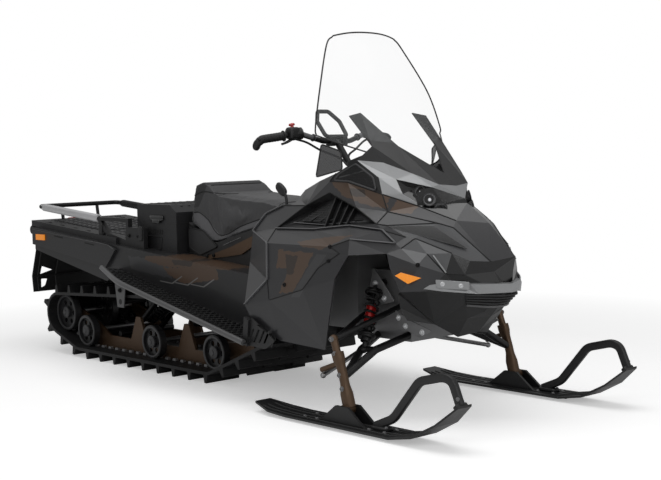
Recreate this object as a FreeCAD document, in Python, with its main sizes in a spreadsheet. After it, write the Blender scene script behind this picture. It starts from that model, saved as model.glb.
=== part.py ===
import FreeCAD, Part

import math
import os

import Sketcher

# A wide-track utility snowmobile, modelled in millimetres.
# +X is forward, +Y is left, +Z is up, and the origin is on the floor under the middle of the machine.

# Driving dimensions: lengths in millimetres, angles in degrees
SIZES = {
    # Track and the wheels that carry it
    "track_width": 600.0,
    "belt_thickness": 14.5,
    "lug_height": 38.0,
    "lug_root": 30.0,
    "lug_tip": 14.0,
    "lug_pitch": 64.0,
    "centre_band_width": 220.0,
    "rail_wheel_radius": 82.0,
    "rail_wheel_width": 34.0,
    "wheel_seat_gap": 0.4,
    "rail_wheel_rear_x": -1194.0,
    "rail_wheel_middle_x": -595.0,
    "rail_wheel_front_x": -93.0,
    "rail_wheel_outer_y": 248.0,
    "idler_radius": 97.0,
    "idler_x": -1389.0,
    "idler_z": 217.0,
    "sprocket_radius": 94.0,
    "sprocket_x": 275.0,
    "sprocket_z": 303.0,
    "sprocket_width": 40.0,
    "sprocket_y": 120.0,
    "axle_radius": 12.0,
    "drive_axle_radius": 19.0,
    "wheel_hub_radius": 26.0,
    "wheel_rim": 16.0,
    "wheel_web": 8.0,
    "wheel_window_radius": 13.0,
    # Slide rails and the arms above them
    "rail_thickness": 14.0,
    "rail_y": 165.0,
    "rail_front_x": 120.0,
    "rail_height": 62.0,
    "arm_tube_radius": 14.0,
    "front_arm_low_x": -142.0,
    "front_arm_high_x": 66.0,
    "front_arm_high_z": 366.0,
    "rear_arm_low_x": -1000.0,
    "rear_arm_high_x": -752.0,
    "rear_arm_high_z": 328.0,
    "bracket_half_width": 60.0,
    # Tunnel, deck and what stands on them
    "tunnel_half_width": 322.0,
    "tunnel_wall": 5.0,
    "tunnel_top_z": 548.0,
    "tunnel_fall_share": 0.078,
    "tunnel_front_x": 440.0,
    "tunnel_rear_x": -1560.0,
    "board_inner_z": 342.0,
    "board_fall_share": 0.204,
    "board_rear_x": -740.0,
    "board_front_x": 440.0,
    "board_half_width": 492.0,
    "board_rear_half_width": 424.0,
    "board_thickness": 6.0,
    "board_tube_radius": 13.0,
    "deck_rear_x": -1629.0,
    "deck_gap": 100.0,
    "deck_thickness": 30.0,
    "deck_half_width": 300.0,
    "side_panel_depth": 118.0,
    "side_panel_thickness": 16.0,
    "amber_length": 84.0,
    "amber_height": 30.0,
    "amber_thickness": 8.0,
    "flap_thickness": 8.0,
    "flap_half_width": 295.0,
    "flap_knee_x": -1658.0,
    "flap_bottom_z": 311.0,
    "rack_rear_x": -1628.0,
    "rack_half_width": 250.0,
    "rack_tube_radius": 12.0,
    "rack_rear_z": 778.0,
    "rack_front_z": 728.0,
    "rack_gap": 220.0,
    "rack_corner_radius": 60.0,
    "rear_bar_radius": 22.0,
    # Cargo box
    "box_length": 328.0,
    "box_gap": 20.0,
    "box_half_width": 236.0,
    "box_wall": 5.0,
    "box_top_z": 722.0,
    "lid_height": 86.0,
    "lid_gap": 0.3,
    # Seat
    "seat_half_width": 178.0,
    "seat_length": 741.7,
    "seat_gap": 110.3,
    "seat_base_z": 640.0,
    "seat_peak": 282.0,
    "seat_clearance": 0.4,
    # Cowl: the panelled front body, in which most outlines are shares of these four sizes
    "cowl_rear_x": 500.0,
    "cowl_length": 1000.0,
    "cowl_half_width": 400.0,
    "cowl_height": 1000.0,
    "panel_wall": 5.0,
    "screen_wall": 4.0,
    # Engine and front frame
    "engine_width": 460.0,
    "bulkhead_half_width": 150.0,
    "bulkhead_wall": 12.0,
    # Front suspension and steering
    "kingpin_y": 487.0,
    "kingpin_low_z": 197.0,
    "kingpin_angle": 20.0,
    "kingpin_length": 146.0,
    "spindle_radius": 15.0,
    "ball_radius": 17.0,
    "ball_gap": 0.3,
    "arm_radius": 15.0,
    "steering_arm": 112.0,
    "tie_rod_radius": 9.0,
    "spring_radius": 33.0,
    "spring_wire_radius": 5.0,
    "shock_body_radius": 20.0,
    "ski_bolt_z": 74.0,
    "ski_bolt_radius": 7.0,
    "ski_y": 495.0,
    "ski_length": 1104.0,
    "ski_half_width": 72.0,
    "ski_thickness": 9.0,
    "ski_rib_height": 34.0,
    "ski_tip_z": 172.0,
    "keel_depth": 12.0,
    "ski_loop_radius": 11.0,
    "ski_saddle_half_width": 36.0,
    "ski_saddle_wall": 12.0,
    # Handlebar
    "column_angle": 38.0,
    "column_radius": 14.0,
    "column_clearance": 6.0,
    "column_length": 230.0,
    "bar_radius": 11.0,
    "grip_radius": 17.0,
    "grip_length": 120.0,
    "bar_half_width": 386.0,
    "loop_half_width": 62.0,
    "loop_height": 140.0,
    "loop_tube_radius": 9.0,
}

# Corners of the left half of the cowl, as shares of its length, half width and height
COWL_SHARES = {
    # Dash and console
    "ca": (-0.110, 0.000, 0.830), "cb": (-0.110, 0.420, 0.812), "cd": (0.011, 0.540, 0.845),
    "ce": (0.005, 0.470, 0.888), "cf": (0.005, 0.000, 0.905), "ch": (0.147, 0.578, 0.928),
    "ci": (0.150, 0.000, 0.972), "cm": (0.500, 0.000, 0.985), "cn": (0.490, 0.450, 0.992),
    "co": (0.625, 0.000, 0.946), "cp": (0.585, 0.312, 0.950), "v1": (0.268, 0.625, 0.961),
    "v2": (0.396, 0.632, 1.013), "v3": (0.496, 0.580, 0.944),
    # Pillars beside the rider's knees
    "p1": (0.102, 0.675, 0.828), "p2": (-0.046, 0.675, 0.825), "p3": (-0.137, 0.725, 0.788),
    "p4": (-0.203, 0.775, 0.714), "p5": (-0.205, 0.825, 0.581),
    # Sides of the hood, and its glossy nose
    "a1": (0.237, 0.640, 0.929), "a2": (0.342, 0.640, 0.926), "a3": (0.518, 0.590, 0.879),
    "a4": (0.559, 0.620, 0.812), "a5": (0.560, 0.780, 0.768), "a6": (0.425, 0.725, 0.828),
    "a7": (0.249, 0.670, 0.884), "n1": (0.624, 0.372, 0.832), "n2": (0.773, 0.230, 0.775),
    "n3": (0.596, 0.723, 0.762), "n4": (0.730, 0.367, 0.767), "n5": (0.783, 0.295, 0.750),
    "n6": (0.931, 0.182, 0.623), "n7": (0.750, 0.000, 0.838), "n8": (0.861, 0.000, 0.763),
    "n9": (0.990, 0.000, 0.640),
    # Front end below the hood
    "m1": (0.977, 0.000, 0.583), "m2": (0.942, 0.168, 0.586), "m3": (0.875, 0.323, 0.627),
    "k1": (0.675, 0.740, 0.677), "k2": (0.696, 0.600, 0.713), "k3": (0.815, 0.410, 0.656),
    "k4": (0.756, 0.595, 0.656), "k5": (0.812, 0.495, 0.580), "k6": (0.736, 0.675, 0.615),
    "k7": (0.863, 0.365, 0.575), "f1": (0.637, 0.838, 0.658), "f2": (0.646, 0.825, 0.604),
    "f3": (0.680, 0.775, 0.511), "f4": (0.771, 0.655, 0.516), "f5": (0.742, 0.667, 0.604),
    # Belly and its grille
    "g1": (0.864, 0.367, 0.502), "g2": (0.966, 0.090, 0.499), "g3": (0.970, 0.000, 0.500),
    "g4": (0.842, 0.302, 0.461), "g5": (0.900, 0.138, 0.452), "g6": (0.912, 0.000, 0.452),
    "b1": (0.620, 0.650, 0.495), "b2": (0.615, 0.615, 0.439), "b3": (0.640, 0.588, 0.391),
    "b4": (0.734, 0.443, 0.377), "b5": (0.769, 0.215, 0.321), "b6": (0.829, 0.242, 0.400),
    "b7": (0.878, 0.130, 0.425), "b8": (0.865, 0.000, 0.402), "b9": (0.800, 0.000, 0.335),
    # Headlamps, their trims and the wings in front of the screen
    "l1": (0.548, 0.470, 0.936), "l2": (0.575, 0.450, 0.878), "l3": (0.623, 0.375, 0.845),
    "l4": (0.660, 0.250, 0.902), "l5": (0.738, 0.000, 0.856), "l6": (0.585, 0.350, 0.893),
    "l7": (0.690, 0.180, 0.838), "w1": (0.326, 0.557, 1.192), "w2": (0.315, 0.378, 1.204),
    "w3": (0.486, 0.275, 1.066), "w4": (0.631, 0.000, 0.955), "w5": (0.695, 0.000, 0.905),
    "w6": (0.680, 0.212, 0.913), "w7": (0.595, 0.355, 0.957), "w8": (0.495, 0.512, 1.002), "w9": (0.440, 0.527, 1.068),
    # Shoulders and side panels
    "h1": (-0.012, 0.850, 0.733), "h2": (0.232, 0.875, 0.738), "h3": (0.443, 0.863, 0.759),
    "h4": (0.589, 0.777, 0.745), "h5": (0.665, 0.645, 0.718), "h6": (0.650, 0.745, 0.694),
    "h7": (0.517, 1.038, 0.712), "h8": (0.415, 1.062, 0.681), "s1": (0.010, 1.025, 0.678),
    "s2": (0.037, 1.087, 0.528), "s3": (-0.105, 1.113, 0.416), "s4": (-0.072, 1.113, 0.374),
    "s5": (0.057, 1.113, 0.447), "s6": (0.268, 1.113, 0.505), "s7": (0.353, 1.087, 0.596),
    "s8": (0.466, 1.062, 0.656), "s9": (0.516, 1.062, 0.652), "t1": (0.113, 1.100, 0.285),
    "t2": (0.378, 1.075, 0.272), "t3": (0.444, 1.087, 0.554),
    # Recess behind the louvres
    "u1": (0.112, 0.590, 0.812), "u2": (0.245, 0.613, 0.858), "u3": (0.415, 0.655, 0.808),
    "u4": (0.510, 0.713, 0.775), "u5": (0.430, 0.750, 0.768), "u6": (0.238, 0.750, 0.752),
    "u7": (0.060, 0.750, 0.755),
}

# Flat facets of each cowl panel, as loops of corners
COWL_PANELS = {
    "console": ("ca cf ce cb", "cb ce cd p2", "cd p1 p2", "cd ce ch p1", "cf ci ch ce", "ch a1 p1", "ch v1 a1",
                "ch ci v1", "v1 ci cm cn v2", "cm co cp cn"),
    "hood_sides": ("p1 a1 a7", "a1 a2 a6 a7", "a2 a3 a4 a6", "a4 a5 a6", "a3 n1 a4", "a4 n1 n4", "a4 n4 n3 a5",
                   "n1 n2 n5 n4"),
    "side_vents": ("a1 v1 v2 a2", "v2 v3 a3 a2"),
    "hood": ("n7 n8 n2", "n2 n8 n6", "n2 n6 n5", "n8 n9 n6"),
    "nose_cone": ("n9 m1 m2 n6", "m3 n6 m2", "m3 m2 k7", "k3 m3 k7 k5", "k5 k7 g1 f4", "k7 m2 g2 g1",
                  "m2 m1 g3 g2"),
    "belly_pan": ("g1 g2 g5 g4", "g2 g3 g6 g5", "b4 b3 b2", "b4 b2 b1", "b4 b1 f3", "b4 f3 f4", "b4 f4 g1 g4", "b4 g4 b6", "g4 g5 b7 b6",
                  "g5 g6 b8 b7", "b6 b7 b8", "b6 b8 b9 b5", "b4 b6 b5"),
    "spear_panels": ("n4 n5 n6", "n4 n6 m3", "n4 m3 k3", "n4 k3 k2", "n4 k2 n3",
                     "k1 k2 k4", "k2 k3 k4", "k3 k5 k4", "k5 k6 k4", "k6 k1 k4"),
    "front_fenders": ("f1 k1 k6", "f1 k6 f5", "f1 f5 f2", "k6 k5 f5", "f5 k5 f4", "f5 f4 f3", "f5 f3 f2"),
    "headlamp_trims": ("v2 w8 l1 v3", "w8 w7 l1", "w7 w6 l4 l1", "w6 w5 l5 l4", "v3 l1 l2 a3", "a3 l2 l3 n1"),
    "screen_fairing": ("w1 w2 w9", "w2 w3 w9", "w9 w3 w7 w8", "w3 w4 w6 w7", "w4 w5 w6", "v2 w9 w8"),
    "headlamp_housings": ("l1 l4 l6", "l4 l3 l6", "l3 l2 l6", "l2 l1 l6", "l4 l5 l7", "l5 n7 l7", "n7 n2 l7",
                          "n2 n1 l7", "n1 l3 l7", "l3 l4 l7"),
    "shoulder_panels": ("p2 p1 h1 p3", "p3 h1 p4", "p4 h1 s1 p5", "p5 s1 s2", "p5 s2 s3", "h1 h2 h8 s1", "h2 h3 h7 h8", "h3 h4 h7", "h4 h5 h6 h7", "a5 n3 h4", "n3 k2 h5 h4",
                        "h5 k2 k1 h6", "h6 k1 f1", "a5 h4 h3", "h7 h6 f1 s9"),
    "side_panels": ("s1 h8 s8", "s1 s8 s7", "s1 s7 s6", "s1 s6 s2", "h8 h7 s9 s8", "s3 s2 s5 s4", "s2 s6 s5",
                    "s4 s5 t1", "s5 s6 t2 t1", "s6 s7 t3 t2", "s7 s8 s9 t3"),
    "side_louvres": ("p1 a7 u2 u1", "a7 a6 u3 u2", "a6 a5 u4 u3", "a5 h3 u5 u4", "h3 h2 u6 u5", "h2 h1 u7 u6",
                     "h1 p1 u1 u7", "u1 u2 u6 u7", "u2 u3 u5 u6", "u3 u4 u5"),
}



# Least share of a wall's thickness that a mitred corner is divided by
MITRE_SHARE = 0.5

# Flat strips in each half of the screen
SCREEN_COLUMNS = 6

# Straight steps in one turn of a spring, and its turns
COIL_STEPS = 10
SPRING_TURNS = 7

# Offset, in millimetres, within which points count as one, or a corner as on the middle plane
ON_PLANE = 0.001


class Size:
    """A length from the sheet, or worked out from some, with the words the sheet can repeat."""

    def __init__(self, value, text):
        self.value = float(value)
        self.text = text

    def _join(self, other, sign, value, flip=False):
        text = other.text if isinstance(other, Size) else repr(float(other))
        pair = (text, self.text) if flip else (self.text, text)
        return Size(value, "(%s %s %s)" % (pair[0], sign, pair[1]))

    def __float__(self):
        return self.value

    def __add__(self, other):
        return self._join(other, "+", self.value + float(other))

    def __radd__(self, other):
        return self._join(other, "+", float(other) + self.value, True)

    def __sub__(self, other):
        return self._join(other, "-", self.value - float(other))

    def __rsub__(self, other):
        return self._join(other, "-", float(other) - self.value, True)

    def __mul__(self, other):
        return self._join(other, "*", self.value * float(other))

    def __rmul__(self, other):
        return self._join(other, "*", float(other) * self.value, True)

    def __truediv__(self, other):
        return self._join(other, "/", self.value / float(other))

    def __neg__(self):
        return Size(-self.value, "(-1 * %s)" % self.text)


class Sheet:
    """The document's sheet of driving dimensions, read as attributes."""

    def __init__(self, document, sizes):
        self._sheet = document.addObject("Spreadsheet::Sheet", "Dims")
        for row, (alias, value) in enumerate(sizes.items(), 1):
            self._sheet.set("A%d" % row, alias)
            self._sheet.set("B%d" % row, repr(value))
            self._sheet.setAlias("B%d" % row, alias)
        document.recompute()

    def __getattr__(self, alias):
        return Size(self._sheet.get(alias), "Dims." + alias)


doc = FreeCAD.newDocument("snowmobile")
S = Sheet(doc, SIZES)
NODES = []

# Places that follow from the sizes, from the cowl backwards and forwards
SEAT_REAR_X = S.cowl_rear_x - S.seat_gap - S.seat_length
BOX_FRONT_X = SEAT_REAR_X - S.box_gap
BOX_REAR_X = BOX_FRONT_X - S.box_length
DECK_FRONT_X = BOX_REAR_X - S.deck_gap
RACK_FRONT_X = DECK_FRONT_X - S.rack_gap
ENGINE_LENGTH = S.cowl_length * 0.42
ENGINE_REAR_X = S.cowl_rear_x - S.cowl_length * 0.0597
KINGPIN_LOW_X = S.cowl_rear_x + S.cowl_length * 0.543
SKI_BOLT_X = S.cowl_rear_x + S.cowl_length * 0.574
SKI_TAIL_X = S.cowl_rear_x + S.cowl_length * 0.062
COLUMN_X = S.cowl_rear_x + S.cowl_length * 0.005
COLUMN_Z = S.cowl_height * 1.092


# Building helpers

def vec(x, y, z):
    """A point from sizes or numbers."""
    return FreeCAD.Vector(float(x), float(y), float(z))


def feature(label, shape):
    """Store a shape made by Part functions as one sub-part."""
    item = doc.addObject("Part::Feature", label)
    item.Label = label
    item.Shape = shape
    item.Placement = FreeCAD.Placement()
    NODES.append(item)
    return item


def new_body(label):
    """Start a sub-part that is drawn with sketches."""
    body = doc.addObject("PartDesign::Body", label)
    body.Label = label
    return body


def finish_body(body):
    """List a sketched sub-part as a node."""
    NODES.append(body)
    return body


def plane_of(body, role):
    """One of the body's own origin planes."""
    return [item for item in body.Origin.OriginFeatures if item.Role == role][0]


def fix(sketch, kind, index, size):
    """Tie one coordinate of a sketch point to the sheet."""
    axis = -2 if kind == "DistanceX" else -1
    if float(size) == 0:
        sketch.addConstraint(Sketcher.Constraint("PointOnObject", index[0], index[1], axis))
        return
    place = sketch.addConstraint(Sketcher.Constraint(kind, -1, 1, index[0], index[1], float(size)))
    if isinstance(size, Size):
        sketch.setExpression("Constraints[%d]" % place, size.text)


def add_loop(sketch, points):
    """Draw one closed outline of straight edges, each corner tied to the sheet."""
    first = sketch.GeometryCount
    count = len(points)
    for i in range(count):
        a, b = points[i], points[(i + 1) % count]
        sketch.addGeometry(Part.LineSegment(vec(a[0], a[1], 0), vec(b[0], b[1], 0)), False)
    for i in range(count):
        sketch.addConstraint(Sketcher.Constraint("Coincident", first + i, 2, first + (i + 1) % count, 1))
    for i in range(count):
        fix(sketch, "DistanceX", (first + i, 1), points[i][0])
        fix(sketch, "DistanceY", (first + i, 1), points[i][1])


def add_circle(sketch, u, v, radius):
    """Draw one circle, its centre and radius tied to the sheet."""
    place = sketch.addGeometry(Part.Circle(vec(u, v, 0), vec(0, 0, 1), float(radius)), False)
    fix(sketch, "DistanceX", (place, 3), u)
    fix(sketch, "DistanceY", (place, 3), v)
    round_ = sketch.addConstraint(Sketcher.Constraint("Radius", place, float(radius)))
    if isinstance(radius, Size):
        sketch.setExpression("Constraints[%d]" % round_, radius.text)


def new_sketch(body, name, role, start, loops=(), circles=()):
    """A sketch on an origin plane, set off along the plane's normal."""
    sketch = body.newObject("Sketcher::SketchObject", body.Name + "_" + name)
    sketch.AttachmentSupport = [(plane_of(body, role), "")]
    sketch.MapMode = "FlatFace"
    sketch.AttachmentOffset = FreeCAD.Placement(vec(0, 0, start), FreeCAD.Rotation())
    if isinstance(start, Size):
        sketch.setExpression("AttachmentOffset.Base.z", start.text)
    for loop in loops:
        add_loop(sketch, loop)
    for circle in circles:
        add_circle(sketch, *circle)
    return sketch


def extrude(body, kind, name, sketch, length):
    """Pad or pocket a sketch by a length from the sheet."""
    item = body.newObject("PartDesign::" + kind, body.Name + "_" + name)
    item.Profile = sketch
    item.Length = float(length)
    item.setExpression("Length", length.text)
    if kind == "Pocket":
        item.Reversed = True
    body.Tip = item
    return item


def slab(label, outline, half_width, loops=(), circles=()):
    """A plate whose outline lies in the XZ plane, as wide to the left as to the right."""
    body = new_body(label)
    sketch = new_sketch(body, "outline", "XZ_Plane", -half_width, [outline] + list(loops), circles)
    extrude(body, "Pad", "pad", sketch, half_width * 2)
    return finish_body(body)


def rod(start, end, radius):
    """A straight round bar between two points."""
    line = end - start
    return Part.makeCylinder(float(radius), line.Length, start, line)


def mirror(shape):
    """The same shape on the other side of the machine."""
    return shape.mirror(vec(0, 0, 0), vec(0, 1, 0))


def pair(shape):
    """A shape and its twin on the other side."""
    return Part.makeCompound([shape, mirror(shape)])


def fuse(shapes):
    """Join shapes into one solid."""
    return shapes[0].multiFuse(shapes[1:]).removeSplitter()


def route(points, bend):
    """A path of straight runs joined by tangent arcs."""
    edges = []
    start = points[0]
    for i in range(1, len(points) - 1):
        before = (points[i - 1] - points[i]).normalize()
        after = (points[i + 1] - points[i]).normalize()
        half = before.getAngle(after) / 2
        reach = float(bend) / math.tan(half)
        a = points[i] + before * reach
        b = points[i] + after * reach
        middle = (before + after).normalize()
        top = points[i] + middle * (float(bend) / math.sin(half) - float(bend))
        if (a - start).Length > ON_PLANE:
            edges.append(Part.LineSegment(start, a).toShape())
        edges.append(Part.Arc(a, top, b).toShape())
        start = b
    if (points[-1] - start).Length > ON_PLANE:
        edges.append(Part.LineSegment(start, points[-1]).toShape())
    return Part.Wire(edges)


def tube(points, radius, bend):
    """A round tube along a path with bent corners."""
    path = route(points, bend)
    ring = Part.Wire(Part.makeCircle(float(radius), points[0], points[1] - points[0]))
    return path.makePipeShell([ring], True, False)


def closed_tube(points, radius, bend):
    """A closed loop of round tube: two halves of its path, each swept and then joined."""
    count = len(points)
    middles = [(points[i] + points[(i + 1) % count]) * 0.5 for i in range(count)]
    half = count // 2
    first = [middles[-1]] + points[:half] + [middles[half - 1]]
    second = [middles[half - 1]] + points[half:] + [middles[-1]]
    return fuse([tube(first, radius, bend), tube(second, radius, bend)])


def loft(sections):
    """A faceted solid through closed outlines, one for each station."""
    wires = [Part.makePolygon(list(section) + [section[0]]) for section in sections]
    return Part.makeLoft(wires, True, True)


def triangles(loops):
    """Flat triangles of a facetted sheet, from loops of corner names."""
    found = []
    for loop in loops:
        names = loop.split()
        for i in range(1, len(names) - 1):
            found.append((names[0], names[i], names[i + 1]))
    return found


def turned_out(points, corners, core):
    """The same triangles, turned alike across their shared edges, so that as a whole they face away from a line."""
    waiting = list(corners)
    found = [waiting.pop(0)]
    while waiting:
        edges = {edge for a, b, c in found for edge in ((a, b), (b, c), (c, a))}
        for corner in waiting:
            a, b, c = corner
            if edges & {(b, a), (c, b), (a, c)}:
                found.append(corner)
                break
            if edges & {(a, b), (b, c), (c, a)}:
                found.append((a, c, b))
                break
        waiting.remove(corner)
    low, high = core
    facing = 0
    for a, b, c in found:
        middle = (points[a] + points[b] + points[c]) / 3
        inside = vec(min(max(middle.x, low.x), high.x), 0, low.z)
        facing += (points[b] - points[a]).cross(points[c] - points[a]).dot(middle - inside)
    return found if facing > 0 else [(a, c, b) for a, b, c in found]


def corner_normals(points, corners):
    """Mean outward direction at each corner, long enough to keep the thickness of the wall."""
    around = {}
    for a, b, c in corners:
        normal = (points[b] - points[a]).cross(points[c] - points[a]).normalize()
        for name, ahead, behind in ((a, b, c), (b, c, a), (c, a, b)):
            angle = (points[ahead] - points[name]).getAngle(points[behind] - points[name])
            around.setdefault(name, []).append((normal, angle))
    normals = {}
    for name, found in around.items():
        mean = FreeCAD.Vector()
        for normal, angle in found:
            mean += normal * angle
        mean.normalize()
        least = min(mean.dot(normal) for normal, _ in found)
        normals[name] = mean / max(least, MITRE_SHARE)
    return normals


def edge_key(name):
    """A corner's name as it sorts on either side of the machine."""
    return name.lower() if isinstance(name, str) else name


def facet_sheet(points, inner, corners):
    """A closed sheet between outer corners and inner ones, over the same flat triangles."""
    faces = []
    edges = set()
    for a, b, c in corners:
        faces.append((points[a], points[b], points[c]))
        faces.append((inner[a], inner[c], inner[b]))
        edges.update(((a, b), (b, c), (c, a)))
    for a, b in edges:
        if (b, a) in edges:
            continue
        if edge_key(a) < edge_key(b):
            faces += [(points[a], inner[a], inner[b]), (points[a], inner[b], points[b])]
        else:
            faces += [(points[b], points[a], inner[a]), (points[b], inner[a], inner[b])]
    shell = Part.makeShell([Part.Face(Part.makePolygon(list(face) + [face[0]])) for face in faces])
    solid = Part.makeSolid(shell)
    if solid.Volume < 0:
        solid.reverse()
    return solid.removeSplitter()


def biggest(shape):
    """The largest solid of a shape, without what a cut leaves over."""
    return max(shape.Solids, key=lambda solid: solid.Volume)


def offset_line(points, wall):
    """A polyline in a plane of constant X, moved to its left by a wall, with mitred corners."""
    moved = []
    count = len(points)
    for i in range(count):
        sides = []
        for j in (i - 1, i):
            if 0 <= j < count - 1:
                run = points[j + 1] - points[j]
                run.normalize()
                sides.append(FreeCAD.Vector(0, -run.z, run.y))
        normal = sides[0] + sides[-1]
        normal.normalize()
        reach = float(wall) / max(normal.dot(sides[0]), 0.35)
        moved.append(points[i] + normal * reach)
    return moved


def band(points, wall):
    """The closed section of a sheet that follows a polyline."""
    return list(points) + offset_line(points, wall)[::-1]


def cowl(x_share, y_share, z_share):
    """A point of the cowl, in shares of its length, half width and height."""
    return vec(S.cowl_rear_x + S.cowl_length * x_share, S.cowl_half_width * y_share,
               S.cowl_height * z_share)


def station(x_share, pairs):
    """One section of the left half of the cowl."""
    return [cowl(x_share, y, z) for y, z in pairs]


def arch(half):
    """The whole section from a left half that ends on the middle plane."""
    other = [vec(p.x, -p.y, p.z) for p in half if p.y > 1e-6]
    return list(half) + other[::-1]


def deck_z(x):
    """Height of the tunnel's top at a place along the machine: it falls towards the front."""
    return S.tunnel_top_z - x * float(S.tunnel_fall_share)


def board_z(x):
    """Height of the running board's inner edge at a place along the machine."""
    return S.board_inner_z - x * float(S.board_fall_share)


# Track

def track_circles():
    """Centre and belt radius of each round that the belt lies on, from the rear idler forward below."""
    ground = S.rail_wheel_radius + S.wheel_seat_gap
    low = S.belt_thickness + S.lug_height + ground
    return [
        (float(S.idler_x), float(S.idler_z), float(S.idler_radius + S.wheel_seat_gap)),
        (float(S.rail_wheel_rear_x), float(low), float(ground)),
        (float(S.rail_wheel_front_x), float(low), float(ground)),
        (float(S.sprocket_x), float(S.sprocket_z), float(S.sprocket_radius + S.wheel_seat_gap)),
    ]


def belt_run(thickness):
    """Straight and round stretches of the belt at a height above the wheels, counterclockwise."""
    circles = track_circles()
    count = len(circles)
    tangents = []
    for i in range(count):
        ax, az, ar = circles[i]
        bx, bz, br = circles[(i + 1) % count]
        length = math.hypot(bx - ax, bz - az)
        course = math.atan2(bz - az, bx - ax)
        lean = math.asin((ar - br) / length)
        tangents.append(course - math.pi / 2 + lean)
    stretches = []
    for i in range(count):
        x, z, r = circles[i]
        first, last = tangents[i - 1], tangents[i]
        while last < first - 1e-9:
            last += 2 * math.pi
        stretches.append((x, z, r + thickness, first, last))
    return stretches


def belt_points(stops, thickness):
    """Points on the belt at distances measured along its outer face."""
    stretches = belt_run(float(S.belt_thickness))
    legs = []
    count = len(stretches)
    total = 0
    for i in range(count):
        x, z, r, first, last = stretches[i]
        legs.append(("arc", total, r * (last - first), i))
        total += legs[-1][2]
        bx, bz, br, begin, _ = stretches[(i + 1) % count]
        a = (x + r * math.cos(last), z + r * math.sin(last))
        b = (bx + br * math.cos(begin), bz + br * math.sin(begin))
        legs.append(("line", total, math.hypot(b[0] - a[0], b[1] - a[1]), (a, b, last)))
        total += legs[-1][2]
    points = []
    for stop, height in stops:
        s = (stop % 1.0) * total
        leg = [item for item in legs if item[1] <= s + 1e-9][-1]
        reach = s - leg[1]
        lift = height + thickness - float(S.belt_thickness)
        if leg[0] == "arc":
            x, z, r, first, _ = stretches[leg[3]]
            angle = first + reach / r
            points.append(vec(x + (r + lift) * math.cos(angle), 0, z + (r + lift) * math.sin(angle)))
        else:
            a, b, angle = leg[3]
            share = reach / leg[2]
            points.append(vec(a[0] + (b[0] - a[0]) * share + lift * math.cos(angle), 0,
                              a[1] + (b[1] - a[1]) * share + lift * math.sin(angle)))
    return points, total


def belt_inside():
    """The belt's inner face in side view: true arcs on the rounds and straight runs between them."""
    stretches = belt_run(0)
    edges = []
    count = len(stretches)
    for i in range(count):
        x, z, r, first, last = stretches[i]
        bx, bz, br, begin, _ = stretches[(i + 1) % count]
        ends = [vec(x + r * math.cos(a), 0, z + r * math.sin(a)) for a in (first, (first + last) / 2, last)]
        following = vec(bx + br * math.cos(begin), 0, bz + br * math.sin(begin))
        edges.append(Part.Arc(*ends).toShape())
        edges.append(Part.LineSegment(ends[2], following).toShape())
    return Part.Wire(edges)


def track_band(low_y, width, phase):
    """One band of the track: the belt with a row of lugs in its outline."""
    _, total = belt_points([(0, 0)], 0)
    rows = int(round(total / float(S.lug_pitch) / 2)) * 2
    root = float(S.lug_root) / total / 2
    tip = float(S.lug_tip) / total / 2
    outer = []
    for row in range(rows):
        middle = row / rows
        if row % 2 == phase:
            outer += [(middle - root, 0), (middle - tip, float(S.lug_height)),
                      (middle + tip, float(S.lug_height)), (middle + root, 0)]
        else:
            outer += [(middle, 0)]
        outer += [(middle + 0.5 / rows, 0)]
    outer_points, _ = belt_points(outer, float(S.belt_thickness))
    face = Part.Face([Part.makePolygon(outer_points + outer_points[:1]), belt_inside()])
    face.validate()
    solid = face.extrude(vec(0, width, 0))
    solid.translate(vec(0, low_y, 0))
    return solid


def build_track():
    """The track: one belt, with lugs that stand in alternate rows across its width."""
    half = S.track_width / 2
    centre = S.centre_band_width / 2
    side = half - centre
    bands = [track_band(-half, side, 0), track_band(-centre, centre * 2, 1), track_band(centre, side, 0)]
    feature("track", fuse(bands))


def wheel_shape(radius, width):
    """A spoked rubber-rimmed wheel about the Y axis, its middle at the origin."""
    radius = float(radius)
    half = float(width) / 2
    rim = float(S.wheel_rim)
    hub = float(S.wheel_hub_radius)
    web = float(S.wheel_web) / 2
    profile = [
        vec(S.axle_radius, -half, 0), vec(hub, -half, 0), vec(hub, -web, 0), vec(radius - rim, -web, 0),
        vec(radius - rim, -half, 0), vec(radius, -half, 0), vec(radius, half, 0),
        vec(radius - rim, half, 0), vec(radius - rim, web, 0), vec(hub, web, 0), vec(hub, half, 0),
        vec(S.axle_radius, half, 0),
    ]
    face = Part.Face(Part.makePolygon(profile + profile[:1]))
    wheel = face.revolve(vec(0, 0, 0), vec(0, 1, 0), 360)
    middle = (hub + radius - rim) / 2
    windows = []
    for i in range(6):
        angle = math.pi / 3 * i
        centre = vec(middle * math.cos(angle), -half, middle * math.sin(angle))
        windows.append(Part.makeCylinder(float(S.wheel_window_radius), 2 * half, centre, vec(0, 1, 0)))
    return wheel.cut(windows)


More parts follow.
